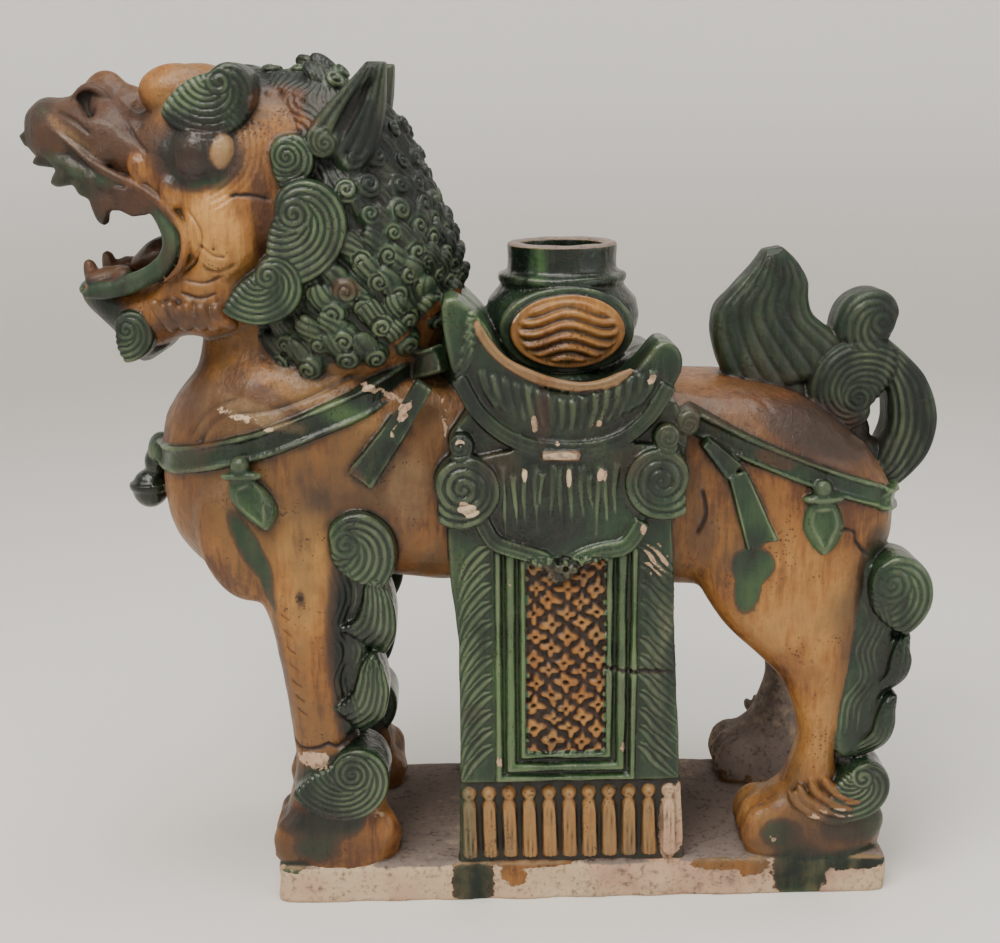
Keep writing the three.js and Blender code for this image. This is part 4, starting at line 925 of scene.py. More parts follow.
def blade(points, normals, left, right, strands, depth, inner, both, dome):
    """Strands along a patch of skin between two lines of the side view."""
    rise, claim = np.zeros(len(points)), np.zeros(len(points))
    left, right = smooth_rows(left, 6), smooth_rows(right, 6)
    columns = 17
    share = np.linspace(0, 1, columns)[None, :, None]
    grid = left[:, None, :] * (1 - share) + right[:, None, :] * share
    along, across = np.gradient(grid, axis=0).reshape(-1, 2), np.gradient(grid, axis=1).reshape(-1, 2)
    flat = grid.reshape(-1, 2)
    near = near_side(points, flat.min(0) - 1, flat.max(0) + 1, inner)
    if not both:
        near = near[points[near, 1] < 0]
    if not len(near):
        return rise, claim
    tree = KDTree(len(flat))
    for index, (x, z) in enumerate(flat):
        tree.insert((x, 0, z), index)
    tree.balance()
    spots = points[near][:, [0, 2]]
    place = np.array([tree.find((x, 0, z))[1] for x, z in spots.tolist()])
    a, c, gap = across[place], along[place], spots - flat[place]
    area = a[:, 0] * c[:, 1] - a[:, 1] * c[:, 0]
    area = np.where(np.abs(area) < 1e-3, 1e-3, area)
    u = (place % columns + (gap[:, 0] * c[:, 1] - gap[:, 1] * c[:, 0]) / area) / (columns - 1)
    v = (place // columns + (a[:, 0] * gap[:, 1] - a[:, 1] * gap[:, 0]) / area) / (len(left) - 1)
    inside = (u > 0) & (u < 1)
    ridges = np.abs(np.sin(np.pi * strands * u)) ** 0.7 - 0.6 if strands else np.sin(np.pi * np.clip(u, 0,
            1))
    soft = step(-0.02, 0.04, u) * step(-0.02, 0.04, 1 - u) if strands else inside
    weight = side_weight(points[near], normals[near], inner) * soft * step(-0.06, 0.12, v) * step(-0.06,
            0.12, 1 - v)
    rise[near] = (depth * ridges + dome * 4 * u * (1 - u) * inside) * weight
    if strands:
        claim[near] = weight
    return rise, claim


pits = []


def dimples(points, normals):
    """Small round hollows."""
    rise = np.zeros(len(points))
    for x, z, radius, depth, inner, side in pits:
        near = near_side(points, (x - 3 * radius, z - 3 * radius), (x + 3 * radius, z + 3 * radius), inner)
        if side:
            near = near[points[near, 1] * side > 0]
        away = np.hypot(points[near, 0] - x, points[near, 2] - z) / radius
        rise[near] -= depth * np.exp(-(away**2)) * side_weight(points[near], normals[near], inner)
    return rise


def below_mane(points):
    """How far each corner lies below the line of the lowest curls, from 0 to 1."""
    return step(-3, 3, reading(MANE_HEM, points[:, 0], 1) - 3 - points[:, 2])


def mane_hair(points, zones):
    """Wavy strands between the curls of the mane."""
    rise = np.zeros(len(points))
    near = np.flatnonzero(zones == ZONE_NAMES.index("mane"))
    spots = points[near]
    round_neck = 65 * np.arctan2(np.abs(spots[:, 1]), spots[:, 0] + 160)
    strand = (0.62 * spots[:, 2] - 0.78 * round_neck) / 4.6 + 0.9 * waves(spots, 20, 31)
    rise[near] = 1.1 * (np.abs(np.sin(np.pi * strand)) ** 0.7 - 0.6) * (1 - below_mane(spots))
    return rise


def carved(points, normals, zones):
    """How far the carving raises each corner."""
    rise = mane_hair(points, zones)
    for carve, values in carving:
        own, claim = carve(points, normals, *values)
        rise = rise * (1 - claim) + own
    rise += flowers(points, normals) + vase_waves(points) + snails(points, zones) + dimples(points, normals)
    return rise


def flower_share(points):
    """The share from 0 to 1 of each corner that a petal takes, in the panel's field."""
    left, right, foot, _ = FIELD
    across, up = 21.0, 16.8
    u = (points[:, 0] - (left + right) / 2) / across + 0.08 * waves(points, 12, 21)
    v = (points[:, 2] - foot) / up + 0.08 * waves(points, 12, 22)
    best = np.zeros(len(points))
    for shift in (0.0, 0.5):
        a = (u - shift - np.round(u - shift)) * across
        b = (v - shift - np.round(v - shift)) * up
        radius, turn = np.hypot(a, b * 1.1), np.arctan2(b, a)
        edge = 5.0 + 1.8 * np.cos(4 * turn) + 0.8 * waves(points, 5, 23)
        petal = 1 - step(-0.5, 0.9, radius - edge)
        best = np.maximum(best, petal * (1 - 0.9 * (1 - step(1.0, 2.2, radius))))
    return best


def flowers(points, normals):
    left, right, foot, top = FIELD
    inside = ((points[:, 0] > left) & (points[:, 0] < right) & (points[:, 2] > foot) & (points[:,
            2] < top + 8)
              & (np.abs(points[:, 1]) > PANEL - 2))
    rise = np.zeros(len(points))
    near = points[inside]
    rise[inside] = (flower_share(near) * 2.8 - 1.0 + 0.4 * waves(near, 3, 8)) * step(0.2, 0.5,
            np.abs(normals[inside, 1]))
    return rise


def vase_share(points):
    """How far out each corner lies on the vase's oval medallion, where 1 is its rim."""
    share = np.hypot((points[:, 0] - VASE[0] - 1) / 38, (points[:, 2] - VASE[2] - 38) / 24)
    return np.where((np.abs(points[:, 1]) > 34) & (points[:,
            2] > VASE[2] + 6) & (np.abs(points[:, 1]) < 66), share, 9)


def vase_waves(points):
    x, z, share = points[:, 0] - VASE[0] - 1, points[:, 2] - VASE[2] - 38, vase_share(points)
    band_wave = np.sin(2 * np.pi * (z - 3.5 * np.cos(x / 8.5)) / 7.6)
    rise = np.sign(band_wave) * np.abs(band_wave) ** 0.6 * 1.5 * (1 - step(0.8, 0.88, share))
    for place, height in ((0.96, 1.8), (1.045, -1.4), (1.14, 1.6)):
        rise += height * np.exp(-(((share - place) / 0.04) ** 2))
    return rise


def snails(points, zones):
    """The spiral groove of each curl."""
    rise = np.zeros(len(points))
    box = np.flatnonzero(zones == ZONE_NAMES.index("curl"))
    tree = KDTree(len(box))
    for index, spot in enumerate(points[box]):
        tree.insert(spot, index)
    tree.balance()
    for middle, out, aside, upward, radius, start in curl_places:
        found = tree.find_range(middle, radius * 1.25)
        if not found:
            continue
        near = box[[item[1] for item in found]]
        offset = points[near] - middle
        a, u = offset @ aside, offset @ upward
        away, turn = np.hypot(a, u), np.arctan2(u, a)
        phase = away / (radius * 0.56) - (turn - start) / (2 * np.pi)
        groove = np.exp(-(((phase - np.round(phase)) / 0.19) ** 2))
        weight = (1 - step(0.85, 1.1, away / radius)) * step(-5, -1, offset @ out)
        rise[near] -= 2.0 * groove * weight
    return rise


# Glazes: soft masks over the skin that the material breaks up into ragged edges

def patch(points, x, z, half_x, half_z, tilt=0, side=0):
    """A soft ellipse in the side view; side -1 is near, 1 far and 0 both."""
    c, s = math.cos(math.radians(tilt)), math.sin(math.radians(tilt))
    dx, dz = points[:, 0] - x, points[:, 2] - z
    away = np.hypot((dx * c + dz * s) / half_x, (-dx * s + dz * c) / half_z)
    mask = 1 - step(0.55, 1.45, away)
    if side:
        mask = mask * step(-4, 4, points[:, 1] * side)
    return mask


# Patches of each mask in order: value, x, z, half x, half z, then tilt and side where they are not 0
PATCHES = {
    "green": [
        # Face
        (0.35, -298, 484, 20, 12), (0.3, -318, 443, 18, 9), (0.9, -206, 559, 17, 12),
        (0.3, -176, 304, 32, 18, 0, -1), (0.27, -118, 286, 14, 30, 0, -1), (0.26, -254, 350, 16, 28),
        (1.0, -248, 514, 27, 21), (0.0, -232, 517, 7, 10, -12), (0.9, -358, 544, 12, 9),
        (1.0, -368, 532, 9, 20), (0.95, -322, 402, 20, 24), (0.0, -190, 543, 22, 13, -12),
        (0.95, -171, 548, 8, 12, -30), (0.52, -155, 432, 10, 8, 0, -1),
        # Neck, chest and front legs
        (0.9, -226, 262, 7, 26, 24, -1), (0.8, -212, 232, 6, 24, 14, -1), (1.0, -150, 190, 24, 82),
        (0.0, -194, 190, 15, 80, 4), (0.95, -172, 88, 30, 20), (0.75, -180, 60, 36, 12),
        (0.0, -142, 53, 13, 12), (0.8, -188, 42, 16, 12),
        # Flanks, rump and hind legs
        (1.4, 112, 243, 13, 12, 0, -1), (1.3, 109, 226, 8, 17, -4, -1), (0.62, 160, 330, 46, 15, -16),
        (0.5, 124, 316, 16, 6, -20), (1.0, 206, 170, 18, 90, 6), (0.0, 156, 80, 16, 22),
        (0.75, 192, 50, 28, 14), (0.75, 138, 46, 15, 11),
        # Saddle, cloths and vase
        (1.0, -84, 56, 6, 34),
        # Slab
        (1.0, -79, 14, 15, 22, 0, -1), (1.0, 152, 16, 20, 22, 0, -1), (1.0, 190, 24, 30, 9, 0, -1),
        (0.9, -206, 26, 12, 5, 0, -1),
    ],
    "tone": [
        # Face
        (0.25, -40, 340, 260, 60), (0.1, -206, 559, 17, 12), (-0.2, -248, 514, 27, 21),
        (0.7, -232, 517, 7, 10, -12), (0.85, -238, 468, 24, 30), (0.12, -322, 402, 20, 24),
        (0.62, -262, 556, 22, 15), (0.05, -120, 520, 30, 34), (0.45, -140, 425, 50, 34),
        # Neck, chest and front legs
        (0.8, -176, 358, 52, 8, -24), (0.9, -190, 232, 20, 50), (0.06, -166, 190, 9, 66),
        (0.3, -172, 88, 36, 24), (0.12, -186, 62, 34, 12),
        # Flanks, rump and hind legs
        (-0.1, 111, 234, 16, 30, 0, -1), (0.85, 140, 220, 46, 40, -30), (0.85, 160, 140, 18, 50),
        (0.12, 204, 160, 24, 90, 6), (0.3, 184, 48, 30, 14), (0.7, 124, 58, 12, 8),
        # Saddle, cloths and vase
        (0.05, -30, 272, 34, 14), (0.95, -52, 180, 12, 70), (0.25, 52, 190, 14, 80), (0.4, -84, 56, 6, 34),
        # A painted highlight: a bright green streak down the near side of the vase's neck
        (0.7, -30, 440, 6, 12, 0, -1),
        # Slab
        (0.15, -79, 14, 15, 22, 0, -1), (0.1, 170, 20, 50, 18, 0, -1),
    ],
    "brown": [
        # Face
        (0.34, -30, 345, 270, 56), (0.95, -318, 536, 50, 32, -20), (1.0, -288, 520, 26, 16, -35),
        (1.05, -357, 531, 17, 19), (0.6, -335, 530, 26, 3.4, -38), (0.85, -298, 484, 24, 15),
        # The patch of 1.5 at -322, 546 darkens the nostril's hole: painted shade
        (0.65, -318, 443, 18, 9), (1.5, -322, 546, 6, 8), (0.8, -248, 514, 28, 22),
        (0.25, -232, 517, 7, 10, -12), (0.2, -285, 507, 9, 10), (0.2, -266, 493, 9, 11),
        (0.6, -276, 400, 16, 12, 10), (0.0, -238, 468, 24, 32), (0.85, -209, 476, 7, 34),
        (0.6, -190, 551, 28, 7, -12), (0.3, -262, 560, 20, 14), (0.65, -270, 438, 8, 28),
        (0.8, -264, 408, 26, 7, 12),
        # Neck, chest and front legs
        (0.75, -262, 366, 12, 26), (0.55, -116, 384, 16, 8, -24), (0.6, -262, 300, 16, 40),
        (0.45, -186, 296, 30, 16, -10), (0.5, -112, 262, 22, 34), (0.7, -160, 290, 26, 8),
        (0.65, -207, 170, 4, 40, 6), (0.7, -180, 40, 40, 14), (0.65, -200, 38, 18, 14),
        (0.9, -192, 224, 3, 6, 0, -1),
        # Flanks, rump and hind legs
        (0.45, 111, 232, 14, 26, 0, -1), (0.8, 168, 324, 52, 20, -16), (0.6, 110, 350, 50, 12, 10),
        (0.55, 148, 166, 22, 10, -30), (0.75, 164, 46, 36, 15), (0.7, 120, 34, 14, 8),
        (0.7, 78, 262, 10, 20, 0, -1), (0.4, 112, 90, 16, 40, 0, 1),
        # Saddle, cloths and vase
        (0.9, -30, 346, 5, 20, 0, -1), (0.7, -58, 316, 14, 12), (0.6, 26, 318, 12, 10),
        (0.85, -14, 242, 30, 9), (0.6, -76, 140, 10, 8, 0, -1), (0.8, -12, 117, 26, 4),
        # Slab
        (0.5, 92, 24, 20, 6, 0, -1), (0.5, -40, 24, 36, 3, 0, -1), (0.35, 130, 20, 20, 16, 0, -1),
    ],
    "bare": [
        # Neck, chest and front legs
        (0.58, -224, 346, 24, 4, -16, -1), (0.5, -216, 370, 6, 6, 0, -1), (0.4, -100, 262, 5, 14, 0, -1),
        (0.62, -136, 363, 20, 3.5, -25, -1), (0.66, -119, 352, 4, 10, -35, -1),
        (0.6, -128, 336, 3, 6, 0, -1), (0.7, -94, 344, 2.5, 16, 4, -1), (0.6, -196, 334, 4, 2, 0, -1),
        (0.72, -188, 106, 15, 7, 6, -1), (0.5, -146, 63, 8, 4, 0, -1), (0.55, -142, 118, 6, 3, 40, -1),
        # Flanks, rump and hind legs
        (0.5, 134, 40, 6, 9, 30, -1), (0.52, 160, 60, 12, 4, 10, -1), (0.45, 176, 62, 20, 5, 0, -1),
        (0.9, 140, 90, 46, 66, 0, 1),
        # Saddle, cloths and vase
        (0.8, -35, 343, 2.5, 7, 0, -1), (0.7, -20, 331, 2, 3, 0, -1), (0.62, 6, 343, 4, 3, 0, -1),
        (0.62, 41, 372, 6, 3, 30, -1), (0.9, -18, 323, 12, 2.4, 0, -1), (0.66, -42, 312, 3, 7, 0, -1),
        (0.66, -27, 316, 2.5, 3, 0, -1), (0.66, -13, 308, 2.5, 7, 0, -1), (0.66, 9, 309, 4, 6, 0, -1),
        (0.9, -79, 288, 8, 5, -30, -1), (0.6, -84, 332, 4, 3, 0, -1), (0.7, 36, 272, 2.5, 4, 0, -1),
        (0.5, 46, 250, 11, 14, 0, -1), (0.55, -52, 238, 3, 5, 0, -1), (0.55, -60, 106, 5, 5, 0, -1),
        (0.5, 26, 116, 5, 6, 0, -1), (0.85, 60, 56, 10, 34, 0, -1), (0.42, -47, 408, 4, 8, -40, -1),
        # Slab
        (0.0, -79, 14, 15, 22, 0, -1), (0.3, -50, 18, 10, 9, 0, -1), (0.25, 92, 24, 18, 5, 0, -1),
        (0.35, -36, 26, 30, 3, 0, -1), (0.42, 118, 22, 14, 9, 0, -1), (0.1, 152, 16, 19, 24, 0, -1),
        (0.25, 190, 25, 30, 8, 0, -1), (0.4, -206, 26, 12, 5, 0, -1),
    ],
    "grey": [
        # Face
        # The first patch here, on the nose's wing beside the nostril, is a painted tan highlight
        (0.4, -318, 548, 8, 8), (0.55, -335, 530, 26, 4, -38), (0.35, -318, 443, 18, 9),
        (0.6, -220, 351, 36, 8, -18, -1), (0.5, -118, 300, 16, 34, 0, -1), (0.35, -250, 352, 14, 26),
        (0.25, 52, 190, 14, 80, 0, -1), (0.8, -232, 517, 7, 10, -12),
        # Flanks, rump and hind legs
        (0.12, 208, 170, 24, 90, 6), (0.8, 140, 90, 50, 70, 0, 1),
        # Saddle, cloths and vase
        (0.6, -30, 240, 12, 8, 0, -1), (0.1, 60, 56, 12, 40, 0, -1),
    ],
    "gloss": [
        # Face
        (0.0, -322, 546, 10, 12),
    ],
}
# Cracks and old repairs of the near side, dark in the glaze
CRACKS = [
    [[-204, 121], [-197, 114], [-185, 115], [-177, 118], [-171, 116], [-160, 121], [-147, 124]],
    [[10, 175], [24, 172], [40, 170], [59, 169]], [[-229, 490], [-215, 490], [-202, 487]],
    [[169, 268], [180, 264], [182, 257], [191, 246]], [[74, 262], [80, 278], [77, 296]],
]


def glazed(points, normals, zones):
    """The six glaze masks of every corner."""
    masks = np.array([ZONES[name] for name in ZONE_NAMES], float)[zones]
    columns = {name: column for column, name in enumerate(MASKS)}
    for name, rows in PATCHES.items():
        mask = masks[:, columns[name]]
        for value, *place in rows:
            mask += (value - mask) * patch(points, *place)
    neck = below_mane(points) * (zones == ZONE_NAMES.index("mane"))
    for name, value in (("green", 0.0), ("tone", 0.4), ("brown", 0.42)):
        masks[:, columns[name]] += (value - masks[:, columns[name]]) * neck
    on_slab = zones == ZONE_NAMES.index("slab")
    masks[on_slab & (normals[:, 2] > 0.6), columns["grey"]] = 0.85
    masks[on_slab & (points[:, 1] > -80) & (normals[:, 2] > 0.6), columns["bare"]] = 1.0
    # The field's petals are amber and the ground between them is dark
    left, right, foot, top_edge = FIELD
    field = ((points[:, 0] > left) & (points[:, 0] < right) & (points[:, 2] > foot) & (points[:,
            2] < top_edge + 8)
             & (np.abs(points[:, 1]) > PANEL - 2) & (zones == ZONE_NAMES.index("field")))
    petal = flower_share(points[field])
    masks[field, columns["brown"]] = np.maximum(masks[field, columns["brown"]] * 0.7, 1.0 - 1.05 * petal)
    masks[field, columns["tone"]] = 0.35 + 0.45 * petal
    # The vase's medallion is amber inside its ring, and the rim above is bare
    share = vase_share(points)
    inside = 1 - step(0.98, 1.04, share)
    masks[:, columns["green"]] *= 1 - inside
    masks[:, columns["tone"]] += (0.6 - masks[:, columns["tone"]]) * inside
    rim = (points[:, 2] > VASE[2] + 91) & (np.hypot(points[:, 0] - VASE[0], points[:, 1]) < 40)
    masks[rim, columns["bare"]] = 0.7
    masks[rim, columns["grey"]] = 0.9
    for line in CRACKS:
        dark, _ = blade(points, np.abs(normals) + [0, 1, 0], *band(line, 2.0), 0, 1.0, 60, False, 0.0)
        masks[:, columns["brown"]] = np.maximum(masks[:, columns["brown"]], 1.3 * dark)
        masks[:, columns["bare"]] *= 1 - np.clip(dark, 0, 1)
    return masks


# Material

GREEN_DARK, GREEN_MID, GREEN_BRIGHT = (0.0035, 0.0075, 0.0050), (0.011, 0.030, 0.013), (0.044, 0.098, 0.030)
GREEN_PALE = (0.150, 0.185, 0.095)
AMBER_DARK, AMBER_MID, AMBER_LIGHT = (0.085, 0.030, 0.010), (0.245, 0.100, 0.021), (0.430, 0.215, 0.056)
BROWN, HOLLOW_SHADE_BROWN = (0.036, 0.018, 0.012), (0.007, 0.0045, 0.0035)
OLIVE, DUST_AND_HIGHLIGHT = (0.110, 0.068, 0.026), (0.265, 0.172, 0.082)
CLAY, CLAY_GREY, CLAY_PINK = (0.52, 0.39, 0.255), (0.185, 0.145, 0.125), (0.44, 0.275, 0.180)


class Nodes:
    """Short ways to write a node tree."""

    def __init__(self, tree):
        self.tree = tree

    def make(self, kind, inputs=None, **settings):
        node = self.tree.nodes.new(kind)
        for name, value in settings.items():
            setattr(node, name, value)
        for name, value in (inputs or {}).items():
            self.give(node.inputs[name], value)
        return node

    def give(self, socket, value):
        if isinstance(value, bpy.types.NodeSocket):
            self.tree.links.new(value, socket)
        elif isinstance(value, tuple) and len(value) == 3 and socket.type == "RGBA":
            socket.default_value = (*value, 1)
        else:
            socket.default_value = value

    def attribute(self, name):
        return self.make("ShaderNodeAttribute", attribute_name=name).outputs["Fac"]

    def math(self, how, a, b=0.0, clamp=False):
        node = self.make("ShaderNodeMath", operation=how, use_clamp=clamp)
        self.give(node.inputs[0], a)
        self.give(node.inputs[1], b)
        return node.outputs[0]

    def mix(self, share, a, b, blend="MIX"):
        node = self.make("ShaderNodeMix", data_type="RGBA", blend_type=blend)
        self.give(node.inputs["Factor"], share)
        self.give(node.inputs[6], a)
        self.give(node.inputs[7], b)
        return node.outputs[2]

    def noise(self, scale, detail=3.0, rough=0.55, where=None, distortion=0.0):
        node = self.make("ShaderNodeTexNoise", {"Scale": scale, "Detail": detail, "Roughness": rough,
                                                "Distortion": distortion})
        if where is not None:
            self.give(node.inputs["Vector"], where)
        return node.outputs[0]

    def between(self, value, low, high, out_low=0.0, out_high=1.0, smooth=True):
        node = self.make("ShaderNodeMapRange", interpolation_type="SMOOTHSTEP" if smooth else "LINEAR")
        for index, given in enumerate((value, low, high, out_low, out_high)):
            self.give(node.inputs[index], given)
        return node.outputs[0]


def glaze_material():
    material = bpy.data.materials.new("glazed_stoneware")
    material.use_nodes = True
    tree = material.node_tree
    tree.nodes.clear()
    n = Nodes(tree)
    where = n.make("ShaderNodeTexCoord").outputs["Object"]
    drawn_down = n.make("ShaderNodeMapping", {"Vector": where, "Scale": (1.0, 1.0, 0.3)}).outputs[0]
    brushed = n.make("ShaderNodeMapping", {"Vector": where, "Scale": (1.0, 1.0, 0.13)}).outputs[0]
    green, tone, brown, bare, grey, gloss = (n.attribute(name) for name in MASKS)
    crest, hollow = n.attribute("relief"), n.attribute("pooling_and_shade")
    broad, middling, fine = n.noise(16, 5, where=where), n.noise(60, 4, where=drawn_down), n.noise(300, 3,
            where=where)
    ragged, streak = n.noise(120, 5, 0.65, where=where), n.noise(260, 3, 0.6, where=brushed)

    def varied(value, *pairs):
        for noise, size in pairs:
            value = n.math("ADD", value, n.math("MULTIPLY", n.math("SUBTRACT", noise, 0.5), size))
        return value

    # Amber: three tones, streaked down the form
    amber_tone = varied(tone, (broad, 1.7), (middling, 1.1), (streak, 1.2), (ragged, 0.5))
    amber = n.mix(n.between(amber_tone, 0.05, 0.6), AMBER_DARK, AMBER_MID)
    amber = n.mix(n.between(amber_tone, 0.5, 1.15), amber, AMBER_LIGHT)
    olive = n.between(varied(n.noise(9, 4, where=where), (middling, 0.5)), 0.42, 0.72)
    amber = n.mix(n.math("MULTIPLY", olive, 0.6), amber, OLIVE)
    # Green: bright where thin, pale on crests; its darkening in hollows is painted shade further down, with
    # the glaze pooled there
    green_tone = varied(tone, (broad, 1.1), (middling, 0.8), (streak, 0.5))
    leaf = n.mix(n.between(green_tone, 0.0, 0.5), GREEN_DARK, GREEN_MID)
    leaf = n.mix(n.between(green_tone, 0.4, 1.0), leaf, GREEN_BRIGHT)
    worn = n.math("MULTIPLY", n.between(crest, 0.45, 1.0),
                  n.between(varied(tone, (middling, 1.2)), 0.0, 0.8))
    leaf = n.mix(n.math("MULTIPLY", worn, 0.75), leaf, GREEN_PALE)
    # The two glazes run into each other through a brown seam
    seam = n.between(varied(green, (ragged, 0.35), (middling, 0.5)), 0.22, 0.78)
    colour = n.mix(seam, amber, leaf)
    edge = n.math("MULTIPLY", n.math("MULTIPLY", seam, n.math("SUBTRACT", 1.0, seam)), 2.6, clamp=True)
    colour = n.mix(edge, colour, BROWN)
    # Tan dust, and on the nose's wing a painted tan highlight
    dust_and_highlight = n.between(varied(grey, (middling, 0.6), (ragged, 0.4)), 0.2, 0.9)
    colour = n.mix(n.math("MULTIPLY", dust_and_highlight, 0.8), colour, DUST_AND_HIGHLIGHT)
    # Brown glaze, and in the nostril's hole painted shade
    brown_and_shade = n.between(varied(brown, (middling, 1.0), (broad, 1.1), (streak, 0.7)), 0.2, 1.1)
    colour = n.mix(n.math("MULTIPLY", brown_and_shade, 0.92), colour, BROWN)
    # Hollows go deep brown: painted shade, with the glaze pooled thick in them
    hollow_shade = n.between(varied(hollow, (ragged, 0.6), (middling, 0.4)), 0.06, 0.8)
    colour = n.mix(n.math("MULTIPLY", hollow_shade, 0.8), colour, HOLLOW_SHADE_BROWN)

    # Pits and freckles
    cells = n.make("ShaderNodeTexVoronoi", {"Vector": where, "Scale": 380.0, "Randomness": 1.0})
    size = n.between(n.noise(40, 2, where=where), 0.46, 0.72, 0.0, 0.3)
    pit = n.between(n.math("SUBTRACT", cells.outputs["Distance"], size), 0.04, -0.06)
    freckle = n.between(varied(fine, (ragged, 0.6)), 0.62, 0.8)
    colour = n.mix(n.math("MULTIPLY", pit, 0.7), colour, BROWN)
    colour = n.mix(n.math("MULTIPLY", freckle, 0.55), colour, BROWN)

    # Bare clay where the glaze never ran or has flaked
    shown = n.between(varied(bare, (ragged, 0.9), (fine, 0.3), (crest, 0.3)), 0.5, 0.58)
    clay = n.mix(n.between(broad, 0.35, 0.65), CLAY, CLAY_PINK)
    clay = n.mix(n.between(varied(grey, (ragged, 1.0), (broad, 1.2)), 0.3, 0.8), clay, CLAY_GREY)
    clay = n.mix(n.math("MULTIPLY", n.between(varied(fine, (ragged, 0.8)), 0.5, 0.8), 0.6), clay, BROWN)
    # Bare clay darkens in hollows too: painted shade
    clay = n.mix(n.math("MULTIPLY", hollow_shade, 0.6), clay, BROWN)
    colour = n.mix(shown, colour, clay)

    rough = n.between(varied(gloss, (middling, 0.9), (ragged, 0.5)), 0.1, 1.0, 0.6, 0.16)
    rough = n.math("ADD", rough, n.math("MULTIPLY", n.math("ADD", shown, n.math("MULTIPLY", brown_and_shade, 0.2)),
            0.5), clamp=True)
    shader = n.make("ShaderNodeBsdfPrincipled", {"Base Color": colour, "Roughness": rough, "Metallic": 0.0,
                                                 "IOR": 1.5, "Specular IOR Level": 0.36,
                                                 "Coat Roughness": 0.1})
    n.give(shader.inputs["Coat Weight"], n.math("MULTIPLY",
            n.math("MULTIPLY", n.math("SUBTRACT", 1.0, shown), gloss), 0.25))
    height = varied(0.0, (fine, 0.5), (ragged, 1.5), (middling, 1.6), (streak, 1.0))
    height = n.math("SUBTRACT", height, n.math("MULTIPLY", pit, 1.5))
    height = n.math("SUBTRACT", height, n.math("MULTIPLY", shown, 1.0))
    bump = n.make("ShaderNodeBump", {"Strength": 0.8, "Distance": 0.0009, "Height": height})
    n.give(shader.inputs["Normal"], bump.outputs[0])
    out = n.make("ShaderNodeOutputMaterial")
    tree.links.new(shader.outputs[0], out.inputs[0])
    return material


# The skin, cut into pieces by planes so that each stays a workable mesh

# Name, then the lowest and highest x and z in mm
PIECES = [
    ("face", -500, -205, 372, 700), ("mane", -205, -105, 372, 700), ("forequarters", -500, -105, -50, 372),
    ("saddle_and_vase", -105, 76, 345, 700), ("hung_cloths", -105, 76, -50, 345),
    ("hindquarters", 76, 500, -50, 345), ("tail", 76, 500, 345, 700),
]


def build_skin():
    mesh = fused([(corners, faces) for _, corners, faces in forms], SKIN_PITCH)
    edges = read(mesh, "vertices", 2, np.int32, "edges")
    points = relaxed(read(mesh, "co", 3).astype(float), edges, 3)
    write_points(mesh, points)
    normals = read(mesh, "normal", 3).astype(float)
    zones = nearest_zones(points)
    masks = relaxed(glazed(points, normals, zones), edges, 2)
    rise = carved(points, normals, zones) + 0.35 * waves(points, 30, 11) + 0.16 * waves(points, 9, 12)
    rise *= step(1.0, 3.0, points[:, 2])
    points = points + normals * rise[:, None]
    points[:, 2] = np.where(points[:, 2] < 0.8, 0.0, points[:, 2])
    write_points(mesh, points)
    calm = relaxed(points, edges, 4)
    calmer = relaxed(calm, edges, 34)
    normals = read(mesh, "normal", 3).astype(float)
    scale = SKIN_PITCH / FINEST_PITCH
    relief = np.clip(0.5 + ((points - calm) * normals).sum(1) / (0.5 * scale), 0, 1)
    # How deep each corner lies in a hollow, for painted shade there and the glaze pooled in it
    pooling_and_shade = np.clip(-((points - calmer) * normals).sum(1) / (1.5 * scale), 0, 1)
    masks = np.column_stack([masks, relief, pooling_and_shade])
    return mesh, points, normals, masks


def write_points(mesh, points):
    mesh.vertices.foreach_set("co", points.astype(np.float32).ravel())
    mesh.update()


def nearest_zones(points):
    corners = np.vstack([form[1] for form in forms])
    faces, owners, start = [], [], 0
    for zone, form_corners, form_faces in forms:
        faces += [[corner + start for corner in face] for face in form_faces]
        owners += [ZONE_NAMES.index(zone)] * len(form_faces)
        start += len(form_corners)
    tree = BVHTree.FromPolygons(corners.tolist(), faces)
    find = tree.find_nearest
    return np.array([owners[find(spot)[2]] for spot in points.tolist()])


def thinned(mesh):
    """The skin with fewer faces where it is smooth."""
    holder = bpy.data.objects.new("thinned", mesh)
    bpy.context.scene.collection.objects.link(holder)
    modifier = holder.modifiers.new("thin", "DECIMATE")
    modifier.ratio = min(1.0, TRIANGLES_IN_ALL / (2 * len(mesh.polygons)))
    modifier.use_collapse_triangulate = True
    done = bpy.data.meshes.new_from_object(holder.evaluated_get(bpy.context.evaluated_depsgraph_get()))
    bpy.data.objects.remove(holder)
    return done


def cut_piece(points, triangles, low_x, high_x, low_z, high_z):
    """The part of the skin inside the planes, closed where they cut it."""
    x, z = points[triangles][:, :, 0], points[triangles][:, :, 2]
    kept = triangles[(x.max(1) > low_x) & (x.min(1) < high_x) & (z.max(1) > low_z) & (z.min(1) < high_z)]
    used, order = np.unique(kept, return_inverse=True)
    mesh = bpy.data.meshes.new("piece")
    mesh.from_pydata(points[used].tolist(), [], order.reshape(-1, 3).tolist())
    form = bmesh.new()
    form.from_mesh(mesh)
    for place, normal in (((low_x, 0, 0), (-1, 0, 0)), ((high_x, 0, 0), (1, 0, 0)),
                          ((0, 0, low_z), (0, 0, -1)),
                          ((0, 0, high_z), (0, 0, 1))):
        cut = bmesh.ops.bisect_plane(form, geom=form.verts[:] + form.edges[:] + form.faces[:],
                plane_co=place,
                                     plane_no=normal, clear_outer=True, dist=1e-4)
        rim = [item for item in cut["geom_cut"] if isinstance(item,
                bmesh.types.BMEdge) and item.is_boundary]
        if rim:
            bmesh.ops.holes_fill(form, edges=rim, sides=0)
    bmesh.ops.triangulate(form, faces=[face for face in form.faces if len(face.verts) > 3])
    form.to_mesh(mesh)
    form.free()
    return mesh


